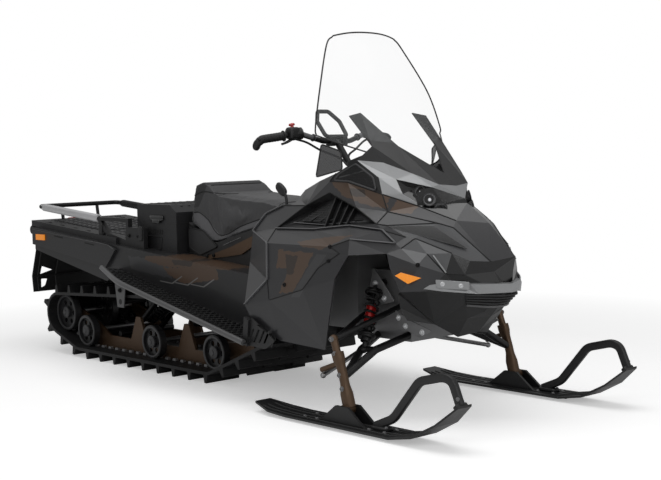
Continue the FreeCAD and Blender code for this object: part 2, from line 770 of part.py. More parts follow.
def build_wheels():
    """Rail wheels, rear idlers and the axles that they turn on."""
    low = float(S.belt_thickness + S.lug_height + S.rail_wheel_radius + S.wheel_seat_gap)
    wheel = wheel_shape(S.rail_wheel_radius, S.rail_wheel_width)
    centre_y = float(S.rail_wheel_outer_y - S.rail_wheel_width / 2)
    wheels = []
    axles = []
    for x in (S.rail_wheel_rear_x, S.rail_wheel_middle_x, S.rail_wheel_front_x):
        for side in (-1, 1):
            wheels.append(wheel.translated(vec(x, side * centre_y, low)))
        axles.append(rod(vec(x, -S.rail_wheel_outer_y, low), vec(x, S.rail_wheel_outer_y, low), S.axle_radius))
    idler = wheel_shape(S.idler_radius, S.rail_wheel_width)
    for y in (-centre_y, 0, centre_y):
        wheels.append(idler.translated(vec(S.idler_x, y, S.idler_z)))
    axles.append(rod(vec(S.idler_x, -S.rail_wheel_outer_y, S.idler_z),
                     vec(S.idler_x, S.rail_wheel_outer_y, S.idler_z), S.axle_radius))
    feature("track_wheels", Part.makeCompound(wheels))
    feature("wheel_axles", Part.makeCompound(axles))


def build_drive_axle():
    """The shaft and the sprockets that drive the belt."""
    parts = [rod(vec(S.sprocket_x, -S.tunnel_half_width + S.tunnel_wall, S.sprocket_z),
                 vec(S.sprocket_x, S.tunnel_half_width - S.tunnel_wall, S.sprocket_z), S.drive_axle_radius)]
    for side in (-1, 1):
        start = vec(S.sprocket_x, side * S.sprocket_y - S.sprocket_width / 2, S.sprocket_z)
        parts.append(Part.makeCylinder(float(S.sprocket_radius), float(S.sprocket_width), start, vec(0, 1, 0)))
    feature("drive_axle", fuse(parts))


def build_rails():
    """Two slide rails that lie on the belt, bent up at the front, each bored for the wheel axles."""
    floor = float(S.belt_thickness + S.lug_height + S.wheel_seat_gap)
    top = floor + float(S.rail_height)
    rear = float(S.idler_x) - float(S.rail_height)
    front = float(S.rail_wheel_front_x)
    low = float(S.belt_thickness + S.lug_height + S.rail_wheel_radius + S.wheel_seat_gap)
    outline = [
        vec(float(S.rail_wheel_rear_x), 0, floor), vec(front, 0, floor),
        vec(float(S.rail_front_x), 0, floor + float(S.rail_height) * 1.4),
        vec(float(S.rail_front_x), 0, floor + float(S.rail_height) * 2.2),
        vec(front, 0, low + float(S.wheel_hub_radius) * 1.6),
        vec(front - float(S.rail_height) * 2, 0, top),
    ]
    for foot in (S.rail_wheel_middle_x + S.rail_height * 3.2, S.rail_wheel_rear_x + S.rail_height * 6.2):
        for along, up in ((1.1, 0), (0.3, 1.9), (-0.3, 1.9), (-1.1, 0)):
            outline.append(vec(float(foot) + float(S.rail_height) * along, 0, top + float(S.rail_height) * up))
    outline += [
        vec(float(S.rail_wheel_rear_x) + 2 * float(S.rail_height), 0, top),
        vec(float(S.rail_wheel_rear_x), 0, low + float(S.wheel_hub_radius) * 1.6),
        vec(float(S.idler_x), 0, float(S.idler_z) + float(S.wheel_hub_radius)),
        vec(rear + float(S.rail_height) / 2, 0, float(S.idler_z)),
        vec(float(S.idler_x), 0, float(S.idler_z) - float(S.wheel_hub_radius)),
    ]
    face = Part.Face(Part.makePolygon(outline + outline[:1]))
    rail = face.extrude(vec(0, S.rail_thickness, 0))
    rail.translate(vec(0, S.rail_y, 0))
    bores = []
    for x, z in ((S.rail_wheel_rear_x, low), (S.rail_wheel_middle_x, low), (S.rail_wheel_front_x, low),
                 (S.idler_x, float(S.idler_z))):
        bores.append(rod(vec(x, 0, z), vec(x, S.tunnel_half_width, z), S.axle_radius))
    feature("slide_rails", pair(rail.cut(bores)))


def build_rear_suspension():
    """Two swing arms between the rails and the tunnel, and the brackets that hold the rear one."""
    rail_top = float(S.belt_thickness + S.lug_height + S.rail_height)
    inner = S.rail_y - S.wheel_seat_gap
    wall = S.tunnel_half_width - S.tunnel_wall
    gap = float(S.arm_tube_radius)
    parts = []
    for low_x, high_x, high_z in ((S.front_arm_low_x, S.front_arm_high_x, S.front_arm_high_z),
                                  (S.rear_arm_low_x, S.rear_arm_high_x, S.rear_arm_high_z)):
        low = vec(low_x, 0, rail_top + gap)
        high = vec(high_x, 0, high_z)
        cross_low = rod(vec(low.x, -inner, low.z), vec(low.x, inner, low.z), S.arm_tube_radius)
        cross_high = rod(vec(high.x, -wall, high.z), vec(high.x, wall, high.z), S.arm_tube_radius)
        sides = []
        for side in (-1, 1):
            y = side * float(S.rail_y) * 0.5
            sides.append(rod(vec(low.x, y, low.z), vec(high.x, y, high.z), S.arm_tube_radius))
        parts.append(fuse([cross_low, cross_high] + sides))
    feature("rear_suspension_arms", Part.makeCompound(parts))
    x, z, foot = float(S.rear_arm_high_x), float(S.rear_arm_high_z), float(S.arm_tube_radius) * 2
    half = float(S.bracket_half_width)
    outline = [vec(x - half, wall, board_z(x - half)), vec(x + half, wall, board_z(x + half)),
               vec(x + foot, wall, z - foot), vec(x - foot, wall, z - foot)]
    plate = Part.Face(Part.makePolygon(outline + outline[:1])).extrude(vec(0, -S.tunnel_wall, 0))
    bore = rod(vec(x, 0, z), vec(x, wall, z), S.arm_tube_radius)
    feature("arm_brackets", pair(plate.cut(bore)))


# Tunnel, boards and deck

def build_tunnel():
    """The tunnel: a folded channel over the track, its sides stepped down to the running boards."""
    front, rear = S.tunnel_front_x, S.tunnel_rear_x
    low_rear = S.board_rear_x - S.side_panel_depth
    outline = [
        (front, deck_z(front)), (rear, deck_z(rear)), (rear, deck_z(rear) - S.side_panel_depth),
        (low_rear, S.board_inner_z + S.side_panel_depth * 0.7), (S.board_rear_x, board_z(S.board_rear_x)),
        (front, board_z(front)),
    ]
    body = new_body("tunnel")
    sketch = new_sketch(body, "side", "XZ_Plane", -S.tunnel_half_width, [outline])
    extrude(body, "Pad", "pad", sketch, S.tunnel_half_width * 2)
    wall = S.tunnel_wall
    hollow = [
        (front + wall, deck_z(front) - wall), (rear - wall, deck_z(rear) - wall),
        (rear - wall, S.board_inner_z * 0.5), (front + wall, S.board_inner_z * 0.5),
    ]
    inside = new_sketch(body, "inside", "XZ_Plane", -S.tunnel_half_width + wall, [hollow])
    extrude(body, "Pocket", "pocket", inside, (S.tunnel_half_width - wall) * 2)
    finish_body(body)


def board_edge(x):
    """Half width of the machine over the outer tube of a running board."""
    bend_x = S.board_rear_x + (S.board_front_x - S.board_rear_x) * 0.2
    if float(x) > float(bend_x):
        return S.board_half_width
    share = (float(x) - float(S.board_rear_x)) / (float(bend_x) - float(S.board_rear_x))
    return S.board_rear_half_width + (S.board_half_width - S.board_rear_half_width) * share


def footwell_end(seat):
    """The slotted guard that closes the front of the footwell, down to the board and its tube."""
    front, low = float(S.board_front_x), float(board_z(S.board_front_x))
    inner, outer = float(S.board_half_width) * 0.90, float(S.board_half_width) * 0.965
    lower = float(S.board_thickness)
    rise = float(S.side_panel_depth)
    points = [
        vec(front - rise * 0.25, inner, low + lower), vec(front - rise * 0.25, outer, low + lower),
        vec(front, outer, low - lower), vec(front, inner, low - lower),
    ]
    upper = [point + vec(rise * 0.12, 0, rise * 0.95) for point in points]
    return loft([points, upper]).cut(seat)


def build_running_boards():
    """Running boards that fall towards the front, with a round tube along the outer edge."""
    bend_x = S.board_rear_x + (S.board_front_x - S.board_rear_x) * 0.2
    sections = []
    points = []
    for x in (S.board_rear_x, bend_x, S.board_front_x):
        inner = vec(x, S.tunnel_half_width, board_z(x))
        outer = vec(x, board_edge(x), board_z(x) + S.board_tube_radius)
        down = vec(0, 0, -S.board_thickness)
        sections.append([inner, outer, outer + down, inner + down])
        points.append(outer)
    seat = tube(points, S.board_tube_radius + S.ball_gap, S.board_half_width)
    beyond = [[p, p + vec(0, S.board_tube_radius, 0), p + vec(0, S.board_tube_radius, -S.board_tube_radius),
               p + vec(0, 0, -S.board_tube_radius)] for p in points]
    board = loft(sections).cut([seat, loft(beyond)])
    feature("running_boards", pair(fuse([board, footwell_end(seat)])))
    feature("board_tubes", pair(tube(points, S.board_tube_radius, S.board_half_width)))


def build_deck():
    """The rear deck, its grey side panels, lamps, snow flap, bar and rack."""
    front, rear = DECK_FRONT_X, S.deck_rear_x
    low = [(front, deck_z(front)), (rear, deck_z(rear))]
    outline = [low[0], (front, deck_z(front) + S.deck_thickness), (rear, deck_z(rear) + S.deck_thickness), low[1]]
    body = new_body("rear_deck")
    sketch = new_sketch(body, "outline", "XZ_Plane", -S.deck_half_width, [outline])
    extrude(body, "Pad", "pad", sketch, S.deck_half_width * 2)
    bed = (RACK_FRONT_X - S.rack_corner_radius, S.rack_rear_x + S.rack_corner_radius)
    raised = [(x, deck_z(x) + S.deck_thickness * share) for x, share in
              ((bed[0], 0.5), (bed[0], 1.1), (bed[1], 1.1), (bed[1], 0.5))]
    half = S.rack_half_width - S.rack_corner_radius
    upper = new_sketch(body, "bed", "XZ_Plane", -half, [raised])
    extrude(body, "Pad", "bed_pad", upper, half * 2)
    finish_body(body)
    depth = S.side_panel_depth
    front = S.board_rear_x - S.deck_thickness * 2
    panel = [
        (front + depth * 0.4, deck_z(front) - depth * 0.2), (front - depth * 0.4, deck_z(front) - depth),
        (S.tunnel_rear_x, deck_z(S.tunnel_rear_x) - depth * 0.75), (S.tunnel_rear_x, deck_z(S.tunnel_rear_x)),
        (front - depth * 0.4, deck_z(front)),
    ]
    wire = [vec(u, S.tunnel_half_width, v) for u, v in panel]
    face = Part.Face(Part.makePolygon(wire + wire[:1]))
    feature("rear_side_panels", pair(face.extrude(vec(0, S.side_panel_thickness, 0))))
    amber_x = S.tunnel_rear_x + S.amber_length * 0.6
    amber = Part.makeBox(float(S.amber_length), float(S.amber_thickness), float(S.amber_height),
                         vec(amber_x, S.tunnel_half_width + S.side_panel_thickness,
                             deck_z(amber_x) - depth * 0.5))
    feature("rear_reflectors", pair(amber))
    knee_z = S.board_inner_z + S.side_panel_depth
    top = S.tunnel_rear_x - S.wheel_seat_gap
    flap = [
        (top, deck_z(top)), (top - S.flap_thickness, deck_z(top)), (S.flap_knee_x - S.flap_thickness, knee_z),
        (S.flap_knee_x + S.flap_thickness, S.flap_bottom_z), (S.flap_knee_x + S.flap_thickness * 2, S.flap_bottom_z),
        (S.flap_knee_x, knee_z),
    ]
    slab("snow_flap", flap, S.flap_half_width)
    bar_z = deck_z(rear) - S.rear_bar_radius - S.ball_gap
    bar = rod(vec(rear, -S.deck_half_width, bar_z), vec(rear, S.deck_half_width, bar_z), S.rear_bar_radius)
    feature("rear_bar", bar)


def under_deck():
    """The space below the deck's top face, for trimming what stands on it."""
    front = DECK_FRONT_X + S.rack_corner_radius
    rear = S.deck_rear_x - S.rack_corner_radius
    half = float(S.tunnel_half_width)
    top = [vec(x, -half, deck_z(x) + S.deck_thickness) for x in (front, rear)]
    points = top + [vec(rear, -half, S.flap_bottom_z), vec(front, -half, S.flap_bottom_z)]
    return Part.Face(Part.makePolygon(points + points[:1])).extrude(vec(0, 2 * half, 0))


def build_rack():
    """The tube rail round the deck, with its front ends and rear posts on the deck."""
    half = S.rack_half_width
    front, rear = RACK_FRONT_X, S.rack_rear_x
    foot_x = front + S.rack_corner_radius
    points = [
        vec(foot_x, half, deck_z(foot_x) + S.deck_thickness), vec(front, half, S.rack_front_z),
        vec(rear, half, S.rack_rear_z), vec(rear, -half, S.rack_rear_z),
        vec(front, -half, S.rack_front_z), vec(foot_x, -half, deck_z(foot_x) + S.deck_thickness),
    ]
    rail = tube(points, S.rack_tube_radius, S.rack_corner_radius * 0.5)
    posts = []
    for side in (-1, 1):
        y = side * float(half) * 0.45
        posts.append(rod(vec(rear + S.rack_tube_radius, y, deck_z(rear) + S.deck_thickness),
                         vec(rear, y, S.rack_rear_z), S.rack_tube_radius * 0.75))
    feature("rear_rack", fuse([rail] + posts).cut(under_deck()))


def build_rack_brackets():
    """The black plates on both sides that carry the front of the rack and hold the cargo box."""
    rear, front, box = RACK_FRONT_X + S.rack_gap * 0.2, BOX_REAR_X + S.box_length * 0.38, BOX_REAR_X - S.box_wall * 1.4
    top = S.box_top_z + S.ball_radius
    foot = DECK_FRONT_X + S.ball_gap
    heel = DECK_FRONT_X - S.rack_gap * 0.45
    low = S.box_top_z - S.ball_radius * 1.5
    outline = [
        (rear, top), (box, top), (box, low), (front, low), (front, deck_z(front)), (foot, deck_z(foot)),
        (foot, deck_z(foot) + S.deck_thickness), (heel, deck_z(heel) + S.deck_thickness),
        (rear, deck_z(rear) + S.deck_thickness + S.ball_radius * 3),
    ]
    rim = S.ball_radius
    window = [
        (rear + rim, top - rim), (box - rim, top - rim), (box - rim * 1.6, deck_z(box) + S.deck_thickness),
        (heel + rim * 0.6, deck_z(heel) + S.deck_thickness + rim * 0.9),
    ]
    start = S.rack_half_width + S.rack_tube_radius * 1.1
    wires = [Part.makePolygon([vec(x, start, z) for x, z in loop + loop[:1]]) for loop in (outline, window)]
    plate = Part.Face(wires[0]).cut(Part.Face(wires[1])).extrude(vec(0, S.ball_radius * 1.4, 0))
    feature("rack_brackets", pair(plate))


def build_seat_braces():
    """The bolted braces that run from the tunnel up to the seat on both sides."""
    wall = float(S.tunnel_wall)
    rear, length = SEAT_REAR_X, S.seat_length
    start = float(S.seat_half_width) + float(S.seat_clearance)
    outline = [
        (rear + length * 0.17, deck_z(rear + length * 0.17)), (rear + length * 0.45, S.seat_base_z - S.ball_radius),
        (rear + length * 0.77, S.seat_base_z + S.seat_peak * 0.235), (rear + length * 0.75, S.seat_base_z + S.seat_peak * 0.085),
        (rear + length * 0.55, S.seat_base_z - S.seat_peak * 0.17), (rear + length * 0.42, S.seat_base_z - S.seat_peak * 0.22),
        (rear + length * 0.24, deck_z(rear + length * 0.24)),
    ]
    points = [vec(x, start, z) for x, z in outline]
    plate = Part.Face(Part.makePolygon(points + points[:1])).extrude(vec(0, wall * 2, 0))
    feature("seat_braces", pair(plate))


def build_cargo_box():
    """The open cargo box and its lid, hinged along the left edge."""
    front, rear, half = BOX_FRONT_X, BOX_REAR_X, S.box_half_width
    body = new_body("cargo_box")
    outline = [(front, deck_z(front)), (front, S.box_top_z), (rear, S.box_top_z), (rear, deck_z(rear))]
    sketch = new_sketch(body, "side", "XZ_Plane", -half, [outline])
    extrude(body, "Pad", "pad", sketch, half * 2)
    wall = S.box_wall
    hollow = [
        (front - wall, deck_z(front) + wall), (front - wall, S.box_top_z + wall),
        (rear + wall, S.box_top_z + wall), (rear + wall, deck_z(rear) + wall),
    ]
    inside = new_sketch(body, "inside", "XZ_Plane", -half + wall, [hollow])
    extrude(body, "Pocket", "pocket", inside, (half - wall) * 2)
    finish_body(body)
    base = S.box_top_z + S.lid_gap
    lid = [
        (front, base), (front, base + S.lid_height * 0.6), (front - S.lid_height * 0.6, base + S.lid_height),
        (rear, base + S.lid_height), (rear, base),
    ]
    slab("cargo_lid", lid, half)


# Seat and console

def build_seat():
    """The cushion, the base under it and the braces beside it."""
    rear, length = SEAT_REAR_X, S.seat_length
    base, peak = S.seat_base_z, S.seat_peak
    top_shares = ((0, 0.30), (0.03, 0.60), (0.07, 0.94), (0.15, 1.0), (0.28, 0.86), (0.48, 0.80),
                  (0.75, 0.74), (0.96, 0.62), (1.0, 0.55), (0.68, 0.26), (0.30, 0.0), (0.20, 0.0))
    outline = [(rear + length * u, base + peak * v) for u, v in top_shares]
    slab("seat_cushion", outline, S.seat_half_width)
    gap = S.seat_clearance
    shares = ((0.20, 0.0), (0.30, 0.0), (0.68, 0.26), (1.0, 0.55))
    top = [(rear + length * u, base + peak * v - gap) for u, v in shares]
    foot = [(rear + length, deck_z(rear + length)), (rear, deck_z(rear)), (rear, base + peak * 0.3 - gap)]
    slab("seat_base", top + foot, S.seat_half_width)


# Cowl panels

class Cowl:
    """The facetted front body: one surface of named corners, which its panels share edge to edge."""

    def __init__(self):
        left = {name: cowl(*share) for name, share in COWL_SHARES.items()}
        self.points = dict(left)
        self.other = {}
        for name, point in left.items():
            self.other[name] = name if abs(point.y) < ON_PLANE else name.upper()
            self.points[self.other[name]] = vec(point.x, -point.y, point.z)
        core = (vec(S.cowl_rear_x + S.cowl_length * 0.2, 0, S.cowl_height * 0.6),
                vec(S.cowl_rear_x + S.cowl_length * 0.7, 0, S.cowl_height * 0.6))
        self.corners = {}
        whole = []
        for label, loops in COWL_PANELS.items():
            half = turned_out(self.points, triangles(loops), core)
            self.corners[label] = half
            whole += half + self.mirrored(half)
        normals = corner_normals(self.points, whole)
        self.inner = {name: self.points[name] - normals[name] * float(S.panel_wall) for name in normals}

    def mirrored(self, corners):
        """Triangles of the right half from those of the left."""
        return [(self.other[a], self.other[c], self.other[b]) for a, b, c in corners]

    def sheet(self, label):
        """One panel: a single sheet where it crosses the middle, and otherwise the left one."""
        corners = self.corners[label]
        names = {name for corner in corners for name in corner}
        if any(self.other[name] == name for name in names):
            corners = corners + self.mirrored(corners)
        return facet_sheet(self.points, self.inner, corners)

    def plate(self, shares, loops, wall):
        """A separate facetted plate, whole where it meets the middle, from corners given as shares of the cowl."""
        points = {name: cowl(*share) for name, share in shares.items()}
        core = (vec(S.cowl_rear_x, 0, S.cowl_height * 0.6), vec(S.cowl_rear_x + S.cowl_length, 0, 0))
        corners = turned_out(points, triangles(loops), core)
        other = {name: name if abs(point.y) < ON_PLANE else name.upper() for name, point in points.items()}
        if any(other[name] == name for name in points):
            points.update({other[name]: vec(point.x, -point.y, point.z) for name, point in points.items()})
            corners = corners + [(other[a], other[c], other[b]) for a, b, c in corners]
        normals = corner_normals(points, corners)
        inner = {name: points[name] - normals[name] * float(wall) for name in normals}
        return facet_sheet(points, inner, corners)


def build_console(body):
    """The console and dash between the seat and the screen, bored for the steering column."""
    head = vec(COLUMN_X, 0, COLUMN_Z)
    bore = rod(head - column_axis() * float(S.column_length), head, S.column_radius + S.column_clearance)
    feature("console", biggest(body.sheet("console").cut(bore)))


def build_panels(body):
    """The panels that cross the middle, and the pairs on both sides."""
    for label in ("hood", "nose_cone", "belly_pan", "headlamp_trims", "headlamp_housings"):
        feature(label, body.sheet(label))
    feature("screen_fairing", biggest(body.sheet("screen_fairing").cut(body.sheet("console"))))
    for label in ("hood_sides", "side_vents", "spear_panels", "front_fenders", "shoulder_panels", "side_panels"):
        feature(label, pair(body.sheet(label)))


def build_louvres(body):
    """The recess below each side of the hood, with the upright fins that stand in it."""
    tray = body.sheet("side_louvres")
    at = body.points
    fins = []
    for share in (0.16, 0.40, 0.64, 0.86):
        top = at["a7"] + (at["a6"] - at["a7"]) * share
        foot = at["h2"] + (at["h3"] - at["h2"]) * share
        deep_top = at["u2"] + (at["u3"] - at["u2"]) * share
        deep_foot = at["u6"] + (at["u5"] - at["u6"]) * share
        outline = [deep_top, deep_foot, foot + (deep_foot - foot) * 0.35, top + (deep_top - top) * 0.35]
        flat = [vec(top.x, point.y, point.z) for point in outline]
        fins.append(Part.Face(Part.makePolygon(flat + flat[:1])).extrude(vec(S.panel_wall, 0, 0)))
    feature("side_louvres", pair(fuse([tray] + fins)))


def build_headlamps(body):
    """Two lenses in each headlamp, standing in the hollows of the housings."""
    housing = [body.sheet("headlamp_housings"), body.sheet("headlamp_trims")]
    at = body.points
    lenses = []
    for centre, low, high, share in (("l6", "l2", "l4", 0.30), ("l7", "l3", "l5", 0.22)):
        width = at[high] - at[low]
        normal = (at["l3"] - at["l2"]).cross(at["l4"] - at["l3"]).normalize()
        size = width.Length * share
        lens = Part.makeCylinder(size, size, at[centre] - normal * (size * 0.5), normal)
        lenses.append(biggest(lens.cut(housing)))
    feature("headlamps", Part.makeCompound([pair(lens) for lens in lenses]))


def screen_sheet(rows, wall):
    """A bowed sheet: each row runs from a side corner to its foremost point, the fuller the higher its last share."""
    points = {}
    corners = []
    columns = range(-SCREEN_COLUMNS, SCREEN_COLUMNS + 1)
    for row, (side, front, fullness) in enumerate(rows):
        outer = cowl(*side)
        ahead = cowl(front[0], 0, front[1])
        for column in columns:
            out = abs(column) / SCREEN_COLUMNS
            course = ahead + (outer - ahead) * out ** fullness
            points[row, column] = vec(course.x, outer.y * column / SCREEN_COLUMNS, course.z)
    for row in range(len(rows) - 1):
        for column in columns[:-1]:
            a, b, c, d = (row, column), (row, column + 1), (row + 1, column + 1), (row + 1, column)
            corners += [(a, b, c), (a, c, d)] if column < 0 else [(a, b, d), (b, c, d)]
    normals = corner_normals(points, corners)
    inner = {name: points[name] - normals[name] * float(wall) for name in normals}
    return facet_sheet(points, inner, corners)


def build_windshield(body):
    """The tall clear screen, a curved sheet open towards the rider, and the wings in front of its foot."""
    rows = [
        ((0.277, 0.900, 1.115), (0.54, 0.985), 1.6),
        ((0.275, 0.915, 1.149), (0.47, 1.130), 1.8),
        ((0.250, 0.780, 1.300), (0.37, 1.320), 2.0),
        ((0.192, 0.545, 1.482), (0.235, 1.500), 2.0),
        ((0.187, 0.440, 1.524), (0.205, 1.545), 2.4),
    ]
    dash = body.sheet("console")
    fitted = [body.sheet(label) for label in ("headlamp_trims", "screen_fairing")]
    screen = biggest(screen_sheet(rows, S.screen_wall).cut([dash] + fitted))
    shares = {
        "a": (0.281, 0.860, 1.085), "b": (0.230, 0.830, 0.966), "c": (0.238, 0.800, 0.935),
        "d": COWL_SHARES["v1"],
    }
    sides = [body.sheet(label) for label in ("side_vents", "hood_sides")]
    guard = body.plate(shares, ("a b c d",), S.screen_wall).cut([screen, dash] + sides)
    feature("windshield", Part.makeCompound([screen, pair(biggest(guard))]))


def build_front_bumper(body):
    """The bright band across the nose, thick enough to lie against the panels behind it."""
    shares = {
        "a": (0.765, 0.675, 0.526), "b": (0.787, 0.575, 0.551), "c": (0.823, 0.480, 0.553),
        "d": (0.884, 0.3525, 0.539), "e": (0.995, 0.0725, 0.540), "f": (1.014, 0.0, 0.555),
        "g": (0.813, 0.550, 0.515), "h": (0.901, 0.275, 0.501), "i": (0.992, 0.065, 0.506),
        "j": (1.006, 0.0, 0.512),
    }
    bar = body.plate(shares, ("a b c g", "c d h g", "d e i h", "e f j i"), S.panel_wall * 4)
    labels = ("nose_cone", "belly_pan", "front_fenders", "spear_panels")
    panels = [body.sheet(label) for label in labels]
    panels += [mirror(panel) for panel in panels[2:]]
    feature("front_bumper", biggest(bar.cut(panels)))


def build_engine():
    """One block that stands for the engine, at its real place and size."""
    block = doc.addObject("Part::Box", "engine_block")
    block.Label = "engine_block"
    for side, size in (("Length", ENGINE_LENGTH), ("Width", S.engine_width), ("Height", S.cowl_height * 0.3)):
        setattr(block, side, float(size))
        block.setExpression(side, size.text)
    for axis, size in (("x", ENGINE_REAR_X), ("y", -S.engine_width / 2), ("z", S.cowl_height * 0.33)):
        block.setExpression("Placement.Base." + axis, size.text)
    NODES.append(block)


def build_bulkhead():
    """The front frame that carries the suspension arms."""
    half = S.bulkhead_half_width
    outline = [
        (ENGINE_REAR_X + ENGINE_LENGTH + S.ball_gap, S.cowl_height * 0.29),
        (ENGINE_REAR_X + ENGINE_LENGTH + S.ball_gap, S.cowl_height * 0.57),
        (S.cowl_rear_x + S.cowl_length * 0.55, S.cowl_height * 0.57),
        (S.cowl_rear_x + S.cowl_length * 0.58, S.cowl_height * 0.45),
        (S.cowl_rear_x + S.cowl_length * 0.58, S.cowl_height * 0.29),
    ]
    slab("front_subframe", outline, half)


# Front suspension, spindles and skis

def kingpin_axis():
    """Direction of the steering axis: up and back."""
    lean = math.radians(float(S.kingpin_angle))
    return vec(-math.sin(lean), 0, math.cos(lean))


def kingpin_point(side, reach):
    """A point on the steering axis, a distance above the lower ball."""
    low = vec(KINGPIN_LOW_X, side * float(S.kingpin_y), S.kingpin_low_z)
    return low + kingpin_axis() * float(reach)


def arm_tubes(name):
    """The left arm of one kind: a pair of tubes that meet at the spindle's ball."""
    half = float(S.bulkhead_half_width) + float(S.ball_gap)
    inside = Part.makeBox(float(S.cowl_length), 2 * half, float(S.cowl_height), vec(S.cowl_rear_x, -half, 0))
    socket = float(S.ball_radius) + float(S.ball_gap)
    lower = name == "lower_arms"
    reach = 0 if lower else S.kingpin_length
    radius = float(S.arm_radius) if lower else float(S.arm_radius) * 0.75
    roots = ((0.385, 0.305), (0.565, 0.318)) if lower else ((0.37, 0.425), (0.53, 0.435))
    ball = kingpin_point(1, reach)
    end = ball - vec(0, float(S.ball_radius) * 0.8, 0)
    inner = [cowl(x, 0, z) + vec(0, half - radius, 0) for x, z in roots]
    if lower:
        knees = [point + (end - point) * 0.55 + vec(0, 0, S.arm_radius * 1.8) for point in inner]
        tubes = [rod(knees[0], knees[1], radius * 0.8)]
        for point, knee in zip(inner, knees):
            tubes += [rod(point, knee, radius), rod(knee, end, radius), Part.makeSphere(radius, knee)]
    else:
        tubes = [rod(point, end, radius) for point in inner]
    swing = rod(ball - kingpin_axis() * (socket * 2), ball + kingpin_axis() * (socket * 2), socket)
    return fuse(tubes).cut([inside, swing])


def build_arms():
    """Upper and lower suspension arms on both sides."""
    for name in ("lower_arms", "upper_arms"):
        feature(name, pair(arm_tubes(name)))


def coil(low, high, radius, wire, turns):
    """A coil spring of square wire between two points, drawn as a helix of short straight steps."""
    steps = int(turns * COIL_STEPS)
    axis = (high - low).normalize()
    first = axis.cross(vec(0, 1, 0)).normalize()
    second = axis.cross(first)
    rings = []
    for i in range(steps + 1):
        angle = 2 * math.pi * i / COIL_STEPS
        out = first * math.cos(angle) + second * math.sin(angle)
        middle = low + (high - low) * (i / steps)
        rings.append([middle + out * (radius + a * wire) + axis * (b * wire)
                      for a, b in ((-1, 0), (0, 1), (1, 0), (0, -1))])
    corners = []
    for before, after in zip(rings, rings[1:]):
        for k in range(4):
            a, b, c, d = before[k], before[(k + 1) % 4], after[(k + 1) % 4], after[k]
            corners += [(a, b, c), (a, c, d)]
    for end in (rings[0], rings[-1]):
        corners += [(end[0], end[1], end[2]), (end[0], end[2], end[3])]
    faces = [Part.Face(Part.makePolygon(list(corner) + [corner[0]])) for corner in corners]
    solid = Part.makeSolid(Part.makeShell(faces))
    if solid.Volume < 0:
        solid.reverse()
    return solid


def build_shocks():
    """A damper and a coil spring on each side, from the lower arm's cross tube to the front frame."""
    top = cowl(0.436, 0.50, 0.520)
    low = cowl(0.496, 0.83, 0.273)
    axis = top - low
    seat = vec(top.x, float(S.bulkhead_half_width) + float(S.ball_gap), top.z)
    eye = float(S.ski_bolt_radius) * 2
    collars = [rod(low + axis * 0.17, low + axis * 0.2, S.spring_radius + S.ball_gap),
               rod(low + axis * 0.86, low + axis * 0.89, S.spring_radius + S.ball_gap)]
    parts = [
        rod(low, top, eye * 0.6), rod(low + axis * 0.12, low + axis * 0.6, S.shock_body_radius),
        rod(seat, top, eye), Part.makeSphere(eye, low),
    ]
    shock = fuse(parts + collars).cut(arm_tubes("lower_arms"))
    wire = float(S.spring_wire_radius)
    spring = coil(low + axis * 0.195, low + axis * 0.865, float(S.spring_radius) - wire, wire, SPRING_TURNS)
    feature("front_shocks", pair(biggest(shock)))
    feature("shock_springs", pair(biggest(spring.cut(collars))))


def steering_ball(side):
    """Centre of the ball behind the spindle that the tie rod holds."""
    middle = kingpin_point(side, S.kingpin_length * 0.35)
    back = vec(-math.cos(math.radians(float(S.kingpin_angle))), 0, -math.sin(math.radians(float(S.kingpin_angle))))
    return middle + back * float(S.steering_arm)


def build_spindle(side, name):
    """The spindle: a leaning leg from the upper ball to the ski bolt, with its steering arm."""
    low = kingpin_point(side, 0)
    high = kingpin_point(side, S.kingpin_length)
    bolt = vec(SKI_BOLT_X, side * float(S.ski_y), S.ski_bolt_z)
    leg = [rod(low, high, S.spindle_radius), rod(bolt, low, S.spindle_radius)]
    half = float(S.ski_saddle_half_width - S.ski_saddle_wall - S.ball_gap)
    eye = rod(bolt - vec(0, half, 0), bolt + vec(0, half, 0), S.spindle_radius * 1.3)
    bore = rod(bolt - vec(0, half, 0), bolt + vec(0, half, 0), S.ski_bolt_radius + S.ball_gap)
    ball = steering_ball(side)
    arm = rod(kingpin_point(side, S.kingpin_length * 0.35), ball, S.spindle_radius * 0.7)
    balls = [Part.makeSphere(float(S.ball_radius), point) for point in (low, high)]
    feature("spindle_" + name, fuse(leg + [eye, arm] + balls).cut(bore))


def build_tie_rod(side, name):
    """The rod from the steering arm towards the middle of the frame."""
    eye = float(S.tie_rod_radius) * 1.3
    below = steering_ball(side) - kingpin_axis() * (float(S.spindle_radius) * 0.7 + eye + float(S.ball_gap))
    inner_y = float(S.bulkhead_half_width) + float(S.steering_arm) * 0.6
    inner = cowl(0.37, 0, 0.25) + vec(0, side * inner_y, 0)
    feature("tie_rod_" + name, fuse([rod(below, inner, S.tie_rod_radius), Part.makeSphere(eye, below)]))


def ski_line():
    """Side view of the ski's sole: flat in the middle, raised at the tail and swept up at the tip."""
    tail = float(SKI_TAIL_X)
    length = float(S.ski_length)
    tip = float(S.ski_tip_z)
    keel = float(S.keel_depth)
    shares = ((0.0, 0.14), (0.10, 0.03), (0.20, 0.0), (0.72, 0.0), (0.82, 0.12), (0.92, 0.48), (1.0, 0.93))
    return [(tail + length * u, keel + (tip - keel) * v) for u, v in shares]


